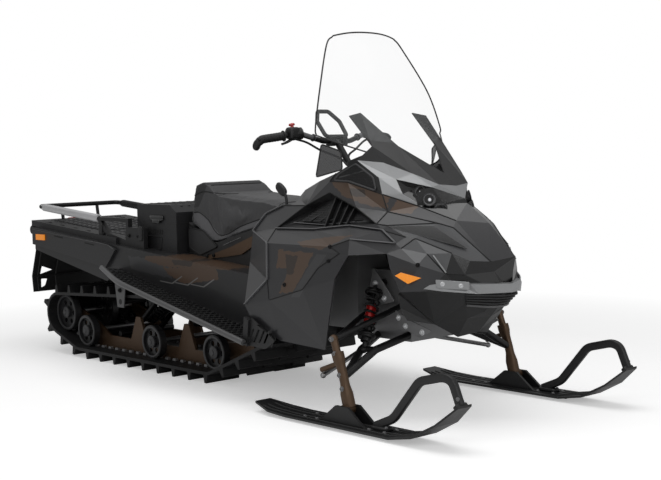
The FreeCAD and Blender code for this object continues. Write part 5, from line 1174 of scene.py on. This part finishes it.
class Headlamps:
    """Reflectors, bulbs and bezels behind and round the lenses."""

    FACE = (0.642, 0.741, 0.197)
    LAMPS = (((1.122, 0.13, 0.886), 0.02), ((1.16, 0.118, 0.856), 0.024), ((1.197, 0.093, 0.822), 0.022))
    BOWL = ((0.001, -0.018), (0.4, -0.016), (0.75, -0.009), (1.0, 0.0), (1.06, 0.0), (0.8, -0.012), (0.4, -0.02),
            (0.001, -0.021))

    def build(self) -> None:
        """Make three lamps on each side."""
        bowls, rims, bulbs = [], [], []
        for centre, radius in self.LAMPS:
            bowls.append(turned(np.array(self.BOWL) * (radius, 1.0), centre, self.FACE))
            rims.append(hoop(radius * 1.08, 0.002, 0.003, centre, self.FACE))
            bulbs.append(pebble(np.array(centre) - np.array(self.FACE) * 0.01, (0.007, 0.007, 0.007), 2.0))
        add_piece("lamp_bowls", both(*bowls), Finishes.CAST_GREY)
        add_piece("lamp_rims", both(*rims), BLACK)
        add_piece("lamp_bulbs", both(*bulbs), Finishes.LAMP_GLOW)


class FrontEnd:
    """Shock brackets, red damper parts, arm bolts and spindle bolts."""

    TOP, FOOT = np.array((0.936, 0.2, 0.52)), np.array((0.996, 0.332, 0.273))
    BRACKETS = (((0.924, 0.586), (1.041, 0.455), (0.954, 0.432), (0.9, 0.5)),
                ((1.04, 0.422), (1.078, 0.337), (1.111, 0.344), (1.177, 0.322), (1.237, 0.355), (1.13, 0.385)))
    LEG = ((1.012, 0.284), (1.024, 0.25), (1.045, 0.19), (1.06, 0.13), (1.074, 0.08))
    BOLTS = ((0.936, 0.205, 0.52), (0.985, 0.203, 0.462), (1.062, 0.203, 0.392), (1.1, 0.203, 0.362),
             (1.19, 0.203, 0.345))
    LEG_WIDTH = ((0.0, 0.2, 0.35, 0.6, 0.75, 1.0), (1.4, 1.4, 1.05, 1.05, 1.45, 1.45))

    def build(self) -> None:
        """Make all of it."""
        way = self.TOP - self.FOOT
        sleeve = np.linspace(self.FOOT + way * 0.4, self.FOOT + way * 0.66, 4)
        add_piece("damper_sleeves", both(tube(sleeve, 0.0212, 24)), Finishes.RED_METAL)
        collars = [hoop(0.034, 0.004, 0.004, self.FOOT + way * share, way) for share in (0.85, 0.215)]
        add_piece("damper_collars", both(*collars), Finishes.BLACK_STEEL)
        plates = [plate(rounded(np.insert(ring, 1, 0.2, axis=1), 0.012, 4, True), 0.005, (0, 1, 0))
                  for ring in self.BRACKETS]
        add_piece("shock_brackets", both(*plates), Finishes.CAST_GREY, bevel=0.001)
        heads = [bolt(point, (0, 1, 0), 0.008) for point in self.BOLTS]
        add_piece("bracket_bolts", both(*heads), Finishes.BRIGHT_ALLOY)
        for side, sign in SIDES:
            starts = [(x, sign * 0.6, z) for x, z in
                     ((1.074, 0.074), (1.052, 0.15), (1.036, 0.2), (1.012, 0.28), (0.996, 0.335))]
            met = laid("spindle_" + side, starts, (0, -sign, 0))
            add_piece("spindle_bolts_" + side, [bolt(spot, (0, sign, 0), 0.007) for spot in met],
                      Finishes.CAST_GREY, "spindle_" + side)
            leg = smooth_line([(x, sign * 0.487, z) for x, z in self.LEG], 6)
            wide = np.interp(np.linspace(0.0, 1.0, len(leg)), *self.LEG_WIDTH)
            add_piece("spindle_cast_" + side, [sweep(leg, oval(0.014, 0.017, 20, 3.0), (1, 0, 0.001), wide)],
                      Finishes.BRONZE, "spindle_" + side)


class RunningGear:
    """Wheel rims, hubs, belt clips, and the dampers of the slide."""

    WHEELS = ((-1.389, 0.217, 0.097), (-1.194, 0.1349, 0.082), (-0.595, 0.1349, 0.082), (-0.093, 0.1349, 0.082))
    ROUNDS = ((-1.389, 0.217, 0.0974), (-1.194, 0.1349, 0.0824), (-0.093, 0.1349, 0.0824), (0.275, 0.303, 0.0944))
    HUB = ((0.03, -0.004), (0.03, 0.004), (0.022, 0.008), (0.014, 0.01), (0.013, 0.013), (0.0005, 0.013))
    PITCH = 0.064
    SKID = (((-0.56, 0.0, 0.205), (-0.3, 0.0, 0.33)), ((-0.98, 0.0, 0.19), (-0.76, 0.0, 0.3)))
    TURNS = 7

    def _belt(self, lift: float, phase: float = 0.5) -> Tuple[np.ndarray, np.ndarray]:
        """Places along the belt: the outermost point of its four rounds in each direction, spaced by arc length.

        Args:
            lift: Height above the belt's inner face.
            phase: Where the first one stands, as a share of the pitch.

        Returns:
            The places and the outward directions, in x and z.
        """
        rounds = np.array(self.ROUNDS)
        angle = np.linspace(0.0, 2 * np.pi, 4001)
        out = np.stack([np.cos(angle), np.sin(angle)], axis=1)
        best = np.argmax(rounds[:, :2] @ out.T + rounds[:, 2:], axis=0)
        line = rounds[best, :2] + out * (rounds[best, 2:] + lift)
        run = np.concatenate([[0.0], np.cumsum(np.linalg.norm(np.diff(line, axis=0), axis=1))])
        count = int(round(run[-1] / self.PITCH))
        stops = (np.arange(count) + phase) * run[-1] / count
        place = np.column_stack([np.interp(stops, run, line[:, axis]) for axis in (0, 1)])
        after = np.column_stack([np.interp((stops + 0.002) % run[-1], run, line[:, axis]) for axis in (0, 1)])
        way = unit(after - place)
        return place, np.column_stack([way[:, 1], -way[:, 0]])

    def build(self) -> None:
        """Make all of it."""
        rims, hubs = [], []
        for x, z, radius in self.WHEELS:
            rims.append(hoop(radius - 0.009, 0.0055, 0.003, (x, 0.2485, z), (0, 1, 0), 56))
            hubs.append(turned(self.HUB, (x, 0.248, z), (0, 1, 0)))
            hubs += [bolt((x + 0.021 * math.cos(turn), 0.251, z + 0.021 * math.sin(turn)), (0, 1, 0), 0.003)
                     for turn in (0.3, 2.4, 4.5)]
        add_piece("wheel_rims", both(*rims), Finishes.RIM_GREY)
        add_piece("wheel_hubs", both(*hubs), Finishes.RIM_GREY)
        place, out = self._belt(0.004)
        along, high = (spots(way[:, 0], 0.0, way[:, 1]) for way in (out[:, ::-1] * (-1, 1), -out))
        clips = [blocks(spots(place[:, 0], y, place[:, 1]) + high * 0.008, (0.013, 0.009, 0.007), along, high)
                 for y in (-0.205, -0.135, 0.135, 0.205)]
        add_piece("belt_clips", clips, Finishes.CAST_GREY)
        bodies, coils = [], []
        turn = np.linspace(0.0, 2 * np.pi * self.TURNS, self.TURNS * 20)[:, None]
        for low, high in np.array(self.SKID):
            bodies.append(tube(np.linspace(low, high, 5), 0.021, 20))
            way = unit(high - low)
            level = unit(np.cross(way, (0.0, 1.0, 0.0)))
            coils.append(tube(low + (high - low) * (0.1 + 0.8 * turn / turn[-1])
                              + 0.034 * (np.cos(turn) * level + np.sin(turn) * np.cross(way, level)), 0.0048, 8))
        add_piece("skid_dampers", bodies, Finishes.BLACK_STEEL)
        add_piece("skid_springs", coils, Finishes.BLACK_STEEL)
        holes = [bolt((x, 0.3195, z), (0, 1, 0), 0.008) for x, z in ((-0.785, 0.44), (-0.718, 0.446), (-0.752, 0.385))]
        add_piece("arm_bracket_bolts", both(*holes), Finishes.BLACK_STEEL)


class RearEnd:
    """The deck's treads and slots, the rack's rail sleeves, bar caps, tail lamp and the windowed flap."""

    RAIL = ((-1.618, 0.25, 0.7775), (-1.03, 0.25, 0.729))
    CAP = ((0.012, -0.03), (0.025, -0.028), (0.027, 0.0), (0.025, 0.006), (0.0005, 0.009))
    TOP = ((-1.555, 0.339, 0.661), (-1.336, 0.339, 0.645), (-1.1, 0.339, 0.628), (-0.84, 0.339, 0.61),
           (-0.77, 0.338, 0.59))
    FLAP = np.array(((-1.563, 0.664), (-1.6622, 0.398), (-1.652, 0.311)))
    WINDOWS = (((0.171, 0.028), (0.245, 0.006), (0.243, 0.056)),
               ((0.201, 0.066), (0.24, 0.068), (0.244, 0.02), (0.218, 0.03)))
    HALF_FLAP = 0.292

    def build(self) -> None:
        """Make all of it."""
        above = spots(np.linspace(-1.585, -0.86, 17)[:, None], np.linspace(-0.19, 0.19, 8), 0.95)
        treads = laid("rear_deck", above, (0, 0, -1))
        add_piece("deck_treads", [blocks(treads, (0.011, 0.017, 0.0025))], Finishes.DECK_PLASTIC)
        slot = laid("rear_deck", spots(np.linspace(-1.5, -0.86, 6), 0.268, 0.95), (0, 0, -1))
        add_piece("deck_slots", both(blocks(slot, (0.03, 0.004, 0.0012))), SEAM)
        line = np.linspace(*self.RAIL, 12)
        end = np.clip(np.minimum(np.linspace(0.0, 8.0, 12) + 0.35, 1.0), 0.35, 1.0)
        groove = oval(0.0155, 0.019, 32, 4.0)
        groove = groove * (1.0 - 0.09 * (np.abs(np.sin(np.arctan2(groove[:, 1], groove[:, 0]) * 4)) > 0.9))[:, None]
        sleeve = sweep(line, groove, (0, 0, 1), end)
        # The near rail's near-white matt colour is partly painted reflection of the bare alloy; the far rail is black.
        add_piece("rack_rail_right", [sleeve.mirrored()], Finishes.RAIL_PAINTED_REFLECTION)
        add_piece("rack_rail_left", [sleeve], BLACK)
        add_piece("bar_caps", both(turned(self.CAP, (-1.629, 0.29, 0.653), (0, 1, 0))), Finishes.GRIP_RUBBER)
        lamp = rounded(((-0.075, -0.018), (0.075, -0.018), (0.075, 0.018), (-0.075, 0.018)), 0.008, 4, True)
        outline = np.column_stack([np.full(len(lamp), -1.6295), lamp[:, 0], lamp[:, 1] + 0.69])
        add_piece("tail_lamp", [plate(outline, 0.01, (-1, 0, 0))], Finishes.RED_LENS, bevel=0.002)
        self._flap()
        add_piece("side_panel_edges", both(sweep(smooth_line(self.TOP, 5), oval(0.0012, 0.0022, 8), (0, 1, 0))),
                  Finishes.SILVER_GREY)
        vents = [rounded(((x, z), (x + 0.085, z - 0.008), (x + 0.085, z - 0.014), (x, z - 0.006)), 0.002, 2, True)
                 for x, z in ((-1.33, 0.637), (-1.03, 0.613))]
        slits = [plate(spots(ring[:, 0], 0.3385, ring[:, 1]), 0.0012, (0, 1, 0)) for ring in vents]
        add_piece("side_panel_slots", both(*slits), SEAM)

    def _flap(self) -> None:
        """Two flat panels meeting at the knee, each with a cut window at both sides, and a stiffening bead."""
        forms = []
        for high, low, window in zip(self.FLAP, self.FLAP[1:], self.WINDOWS):
            tall = float(np.linalg.norm(high - low))
            outline = [(y * self.HALF_FLAP, z * tall) for y, z in ((-1, 0), (1, 0), (1, 1), (-1, 1))]
            hole = rounded(window, 0.006, 3, True)
            holes = [hole, hole * (-1, 1)]
            way = np.array((high[0] - low[0], 0.0, high[1] - low[1]))
            forms.append(punched(outline, holes, 0.006, (low[0], 0.0, low[1]), (0, 1, 0), way))
        add_piece("flap_panels", forms, Finishes.FLAP_RUBBER, bevel=0.0008, replaces=("snow_flap",))
        beads = [tube([(x + 0.004, y, z) for x, z in self.FLAP], 0.005, 8) for y in (0.262, 0.15)]
        knee = self.FLAP[1]
        across = tube([(knee[0] + 0.004, y, knee[1]) for y in (-0.28, 0.0, 0.28)], 0.006, 8)
        add_piece("flap_beads", both(*beads) + [across], Finishes.FLAP_RUBBER)


class CargoBox:
    """The box's latch, vent slots, panel frames, and the ribs and bolts of its lid."""

    def build(self) -> None:
        """Make all of it; what is on the lid rides on it."""
        for side, sign in SIDES:
            if sign < 0:
                add_piece("box_latch", [pebble((-0.528, -0.2385, 0.744), (0.056, 0.009, 0.013), 5.0),
                                        pebble((-0.528, -0.245, 0.728), (0.03, 0.006, 0.01), 4.0)],
                          Finishes.GLOSS_BLACK, "cargo_lid")
            rings = [rounded(((x, 0.664), (x + 0.012, 0.664), (x + 0.016, 0.688), (x + 0.004, 0.688)), 0.003, 3, True)
                     for x in np.linspace(-0.612, -0.5, 7)]
            slots = [plate(spots(ring[:, 0], sign * 0.2365, ring[:, 1]), 0.0016, (0, sign, 0)) for ring in rings]
            add_piece("box_vents_" + side, slots, SEAM)
            ring = rounded(((-0.622, 0.592), (-0.5, 0.592), (-0.492, 0.652), (-0.622, 0.656)), 0.008, 4, True)
            edge = spots(ring[:, 0], sign * 0.237, ring[:, 1])
            add_piece("box_door_" + side, [sweep(edge, oval(0.0025, 0.0025, 8), (0, 1, 0), loop=True)], SEAM)
        rows = []
        for y in np.linspace(-0.175, 0.175, 9):
            line = laid("cargo_lid", spots(np.linspace(-0.668, -0.41, 9), y, 0.95), (0, 0, -1), -0.0005)
            rows.append(sweep(line, oval(0.007, 0.0035, 10, 4.0), (0, 0, 1)))
        add_piece("lid_ribs", rows, Finishes.DECK_PLASTIC, "cargo_lid")
        towers = [pebble((x, 0.287, 0.668), (0.016, 0.006, 0.036), 5.0) for x in (-0.955, -0.6)]
        add_piece("bracket_towers", both(*towers), BLACK)
        heads = [bolt((x, 0.2875, z), (0, 1, 0), 0.007) for x, z in ((-0.93, 0.655), (-0.7, 0.655), (-0.62, 0.655))]
        add_piece("rack_bracket_bolts", both(*heads), Finishes.BLACK_STEEL)


class FootBoards:
    """Rows of teeth on the running boards."""

    def build(self) -> None:
        """Set each tooth on the board below it."""
        above = spots(np.linspace(-0.66, 0.4, 36)[:, None], np.linspace(0.345, 0.475, 5), 0.58)
        met = laid("running_boards", above, (0, 0, -1))
        add_piece("board_teeth", both(blocks(met + (0, 0, 0.002), (0.003, 0.01, 0.004))), BLACK)


class Skis:
    """Ribs and bolts of the skis, and their flat-sided hoops."""

    HOOP = ((1.226, 0.033), (1.318, 0.072), (1.454, 0.228), (1.574, 0.258), (1.612, 0.246), (1.646, 0.166))
    MIDDLE = 0.495

    def build(self) -> None:
        """Make them, each riding on its own ski."""
        for side, sign in SIDES:
            forms = []
            for offset in (-0.045, -0.018, 0.018, 0.045):
                above = spots(np.linspace(0.62, 1.5, 30), sign * (self.MIDDLE + offset), 0.4)
                line = laid("ski_" + side, above, (0, 0, -1), -0.0005)
                steep = np.abs(np.gradient(line[:, 2])) < 0.03
                forms.append(sweep(line[steep], oval(0.004, 0.004, 8), (0, 0, 1)))
            add_piece("ski_ribs_" + side, forms, BLACK, "ski_" + side)
            above = [(x, sign * (self.MIDDLE + y), 0.4) for x in (0.86, 0.93, 1.22, 1.3) for y in (-0.032, 0.032)]
            heads = [bolt(spot, (0, 0, 1), 0.006) for spot in laid("ski_" + side, above, (0, 0, -1))]
            add_piece("ski_bolts_" + side, heads, Finishes.CAST_GREY, "ski_" + side)
            path = rounded([(x, sign * self.MIDDLE, z) for x, z in self.HOOP], 0.022, 5)
            hoop_form = sweep(path, oval(0.0165, 0.0115, 20, 5.0), (0, 1, 0.001))
            add_piece("ski_hoop_" + side, [hoop_form], BLACK, "ski_" + side, replaces=("ski_loop_" + side,))
            toe = [pebble((1.647, sign * self.MIDDLE, 0.163), (0.014, 0.03, 0.009), 4.0, -0.7),
                   pebble((1.255, sign * self.MIDDLE, 0.03), (0.045, 0.024, 0.008), 4.0)]
            add_piece("hoop_feet_" + side, toe, BLACK, "ski_" + side)
            links = [bolt((x, sign * 0.5065, z), (0, sign, 0), 0.005) for x, z in ((1.644, 0.19), (1.29, 0.034))]
            add_piece("hoop_bolts_" + side, links, Finishes.CAST_GREY, "ski_" + side)


class Braces:
    """Bolts of the bronze seat braces and the pale line beside them."""

    BOLTS = ((-0.2, 0.572), (-0.15, 0.578), (0.195, 0.69), (0.02, 0.64))
    PANEL = ((-0.348, 0.7), (-0.348, 0.605), (-0.262, 0.574), (-0.13, 0.618), (-0.24, 0.69))

    def build(self) -> None:
        """Set the bolts on the braces."""
        met = laid("seat_braces", [(x, 0.4, z) for x, z in self.BOLTS], (0, -1, 0))
        panel = rounded(self.PANEL, 0.014, 4, True)
        outline = spots(panel[:, 0], 0.178, panel[:, 1])
        add_piece("base_panels", both(plate(outline, 0.008, (0, 1, 0))), Finishes.PANEL_PLASTIC, bevel=0.002)
        add_piece("base_panel_edges", both(tube(outline + (0, 0.003, 0), 0.003, 8, True)), SEAM)
        line = np.linspace((0.055, 0.1895, 0.668), (-0.075, 0.1895, 0.628), 4)
        add_piece("brace_lines", both(sweep(line, oval(0.0012, 0.003, 8), (0, 1, 0))), Finishes.BRIGHT_SILVER)
        add_piece("brace_bolts", both(*(bolt(point, (0, 1, 0), 0.007) for point in met)), Finishes.BLACK_STEEL)


class Stage:
    """The floor, the lights and the camera."""

    GLOSSY, SKY, GLOW = 0.2, 0.26, 0.38
    HALF_FLOOR = 30.0
    FADE = (2.0, 1.6)
    LAMPS = (("top_light", (0.3, -0.4, 4.2), (0.0, 0.0, 0.5), 5.0, 78.0),
             ("key_light", (3.0, -4.6, 2.6), (0.2, 0.0, 0.6), 3.0, 46.0),
             ("front_light", (5.2, -0.4, 2.4), (0.6, 0.0, 0.6), 2.4, 30.0))
    CAMERA, TARGET = (4.58288, -3.75115, 1.07517), (0.284638, 0.137991, 0.620485)
    ROLL = math.radians(-1.275)
    LENS = 69.52
    SHIFT = (0.0029, 0.0081)

    def build(self) -> None:
        """Make all of them."""
        self._world()
        self._floor()
        self._lights()
        self._camera()

    def _world(self) -> None:
        """A plain soft sky that lights the object, and is white to the camera."""
        p = Painter(bpy.data.worlds.new("studio"))
        path = p.node("LightPath")
        seen = p.wire(path, "Is Camera Ray").higher(p.wire(path, "Is Transmission Ray"))
        share = (p.wire(path, "Is Glossy Ray") * self.GLOSSY + seen).clamp()
        strength = share * (1.0 - self.SKY) + self.SKY
        back = p.node("Background", None, {"Color": (1.0, 1.0, 1.0), "Strength": strength})
        p.node("OutputWorld", None, {"Surface": p.wire(back)})
        bpy.context.scene.world = p.owner

    def _floor(self) -> None:
        """A wide pale floor that keeps the object's shadow, and fades to white away from it."""
        mesh = bpy.data.meshes.new("floor")
        corners = np.array(((-1, -1, 0), (1, -1, 0), (1, 1, 0), (-1, 1, 0))) * self.HALF_FLOOR
        mesh.from_pydata(corners.tolist(), [], [(0, 1, 2, 3)])
        floor = linked("floor", mesh)
        p = Painter(bpy.data.materials.new("floor_pale"))
        tint = p.blend(p.noise(0.6, 3.0), (0.93, 0.93, 0.93), (0.96, 0.96, 0.96))
        shader = p.wire(p.node("BsdfPrincipled", None, {"Base Color": tint, "Roughness": 0.9,
                                                        "Specular IOR Level": 0.1}))
        glow, white = (p.wire(p.node("Emission", None, {"Color": (1.0, 1.0, 1.0), "Strength": strength}))
                       for strength in (self.GLOW, 1.0))
        lit = p.wire(p.node("AddShader", None, {0: shader, 1: glow}))
        x, y, _ = p.split(p.place())
        away = (x ** 2.0 + y ** 2.0) ** 0.5
        fade = ((away - self.FADE[0]) / self.FADE[1]).clamp()
        faded = p.wire(p.node("MixShader", None, {0: fade, 1: lit, 2: white}))
        seen = p.wire(p.node("LightPath"), "Is Camera Ray")
        p.node("OutputMaterial", None, {"Surface": p.wire(p.node("MixShader", None, {0: seen, 1: shader, 2: faded}))})
        mesh.materials.append(p.owner)

    def _lights(self) -> None:
        """A broad top light, a key from the camera's left and a strip along the near side, all large and soft."""
        for name, place, target, size, power in self.LAMPS:
            data = bpy.data.lights.new(name, "AREA")
            data.shape, data.size, data.size_y, data.energy = "RECTANGLE", size, size * 0.6, power
            course = Vector(target) - Vector(place)
            turn = course.to_track_quat("-Z", "Y").to_matrix().to_4x4()
            linked(name, data).matrix_world = Matrix.Translation(place) @ turn

    def _camera(self) -> None:
        """The camera at the photograph's angle: its place, target, roll and lens were fitted to the photograph."""
        place = Vector(self.CAMERA)
        ahead = (Vector(self.TARGET) - place).normalized()
        right = ahead.cross(Vector((0, 0, 1))).normalized()
        up = right.cross(ahead)
        c, s = math.cos(self.ROLL), math.sin(self.ROLL)
        data = bpy.data.cameras.new("camera")
        data.sensor_width, data.sensor_fit, data.lens = 36.0, "HORIZONTAL", self.LENS
        data.shift_x, data.shift_y = self.SHIFT
        data.clip_end = 200.0
        camera = linked("camera", data)
        axes = Matrix((right * c + up * s, up * c - right * s, -ahead)).transposed().to_4x4()
        camera.matrix_world = Matrix.Translation(place) @ axes
        bpy.context.scene.camera = camera


class CadDress:
    """Finishes of the CAD nodes; a node that isn't named here is black plastic."""

    FINISHES: Dict[Finishes, Tuple[str, ...]] = {
        Finishes.TRACK_RUBBER: ("track",),
        Finishes.WHEEL_GREY: ("track_wheels",),
        Finishes.STEEL: ("wheel_axles", "drive_axle", "tie_rod_right", "tie_rod_left"),
        Finishes.BRONZE: ("slide_rails", "spindle_right", "spindle_left", "seat_braces"),
        Finishes.BLACK_STEEL: ("rear_suspension_arms", "steering_frame", "lower_arms", "upper_arms", "handlebar",
                               "shock_springs", "front_shocks", "rear_rack"),
        Finishes.TUNNEL: ("tunnel",),
        Finishes.BOARD: ("running_boards",),
        Finishes.SILVER_GREY: ("board_tubes", "arm_brackets"),
        Finishes.BRIGHT_SILVER: ("headlamp_trims", "front_bumper"),
        Finishes.DECK_PLASTIC: ("rear_deck", "cargo_box", "cargo_lid"),
        Finishes.PANEL_PLASTIC: ("rear_side_panels",),
        Finishes.CHARCOAL: ("console", "hood", "front_fenders"),
        Finishes.PATCHED: ("side_panels", "hood_sides"),
        Finishes.SHOULDER: ("shoulder_panels",),
        Finishes.LIGHT_PANEL: ("spear_panels",),
        Finishes.GLOSS_BLACK: ("nose_cone", "headlamp_housings"),
        Finishes.LAMP_CLEAR: ("headlamps",),
        Finishes.AMBER: ("rear_reflectors",),
        Finishes.FLAP_RUBBER: ("snow_flap",),
        Finishes.SEAT_VINYL: ("seat_cushion",),
        Finishes.SCREEN: ("windshield",),
        Finishes.CAST_GREY: ("engine_block", "front_subframe"),
        Finishes.GRIP_RUBBER: ("hand_grips", "grab_loop"),
    }

    def build(self) -> None:
        """Give every CAD node its finish, in each of its material slots."""
        by_node = {name: finish for finish, names in self.FINISHES.items() for name in names}
        for name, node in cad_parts.items():
            finish = by_node.get(name, BLACK).value
            material = finish.material()
            if not node.material_slots:
                node.data.materials.append(material)
            for slot in node.material_slots:
                slot.material = material
            LOG.info("%s: %s", name, finish.name)


def main() -> None:
    """Build the stage, then each sub-assembly in order."""
    logging.basicConfig(level=logging.INFO, format="%(name)s %(message)s")
    scene = bpy.context.scene
    scene.view_settings.view_transform = "Standard"
    for item in (Stage(), CadDress(), Seat(), Windscreen(), Controls(), Dash(), CowlSeams(), CowlTrim(), Headlamps(),
                 FrontEnd(), RunningGear(), RearEnd(), CargoBox(), FootBoards(), Skis(), Braces()):
        item.build()
        LOG.info("%s built", type(item).__name__)


if __name__ == "__main__":
    main()
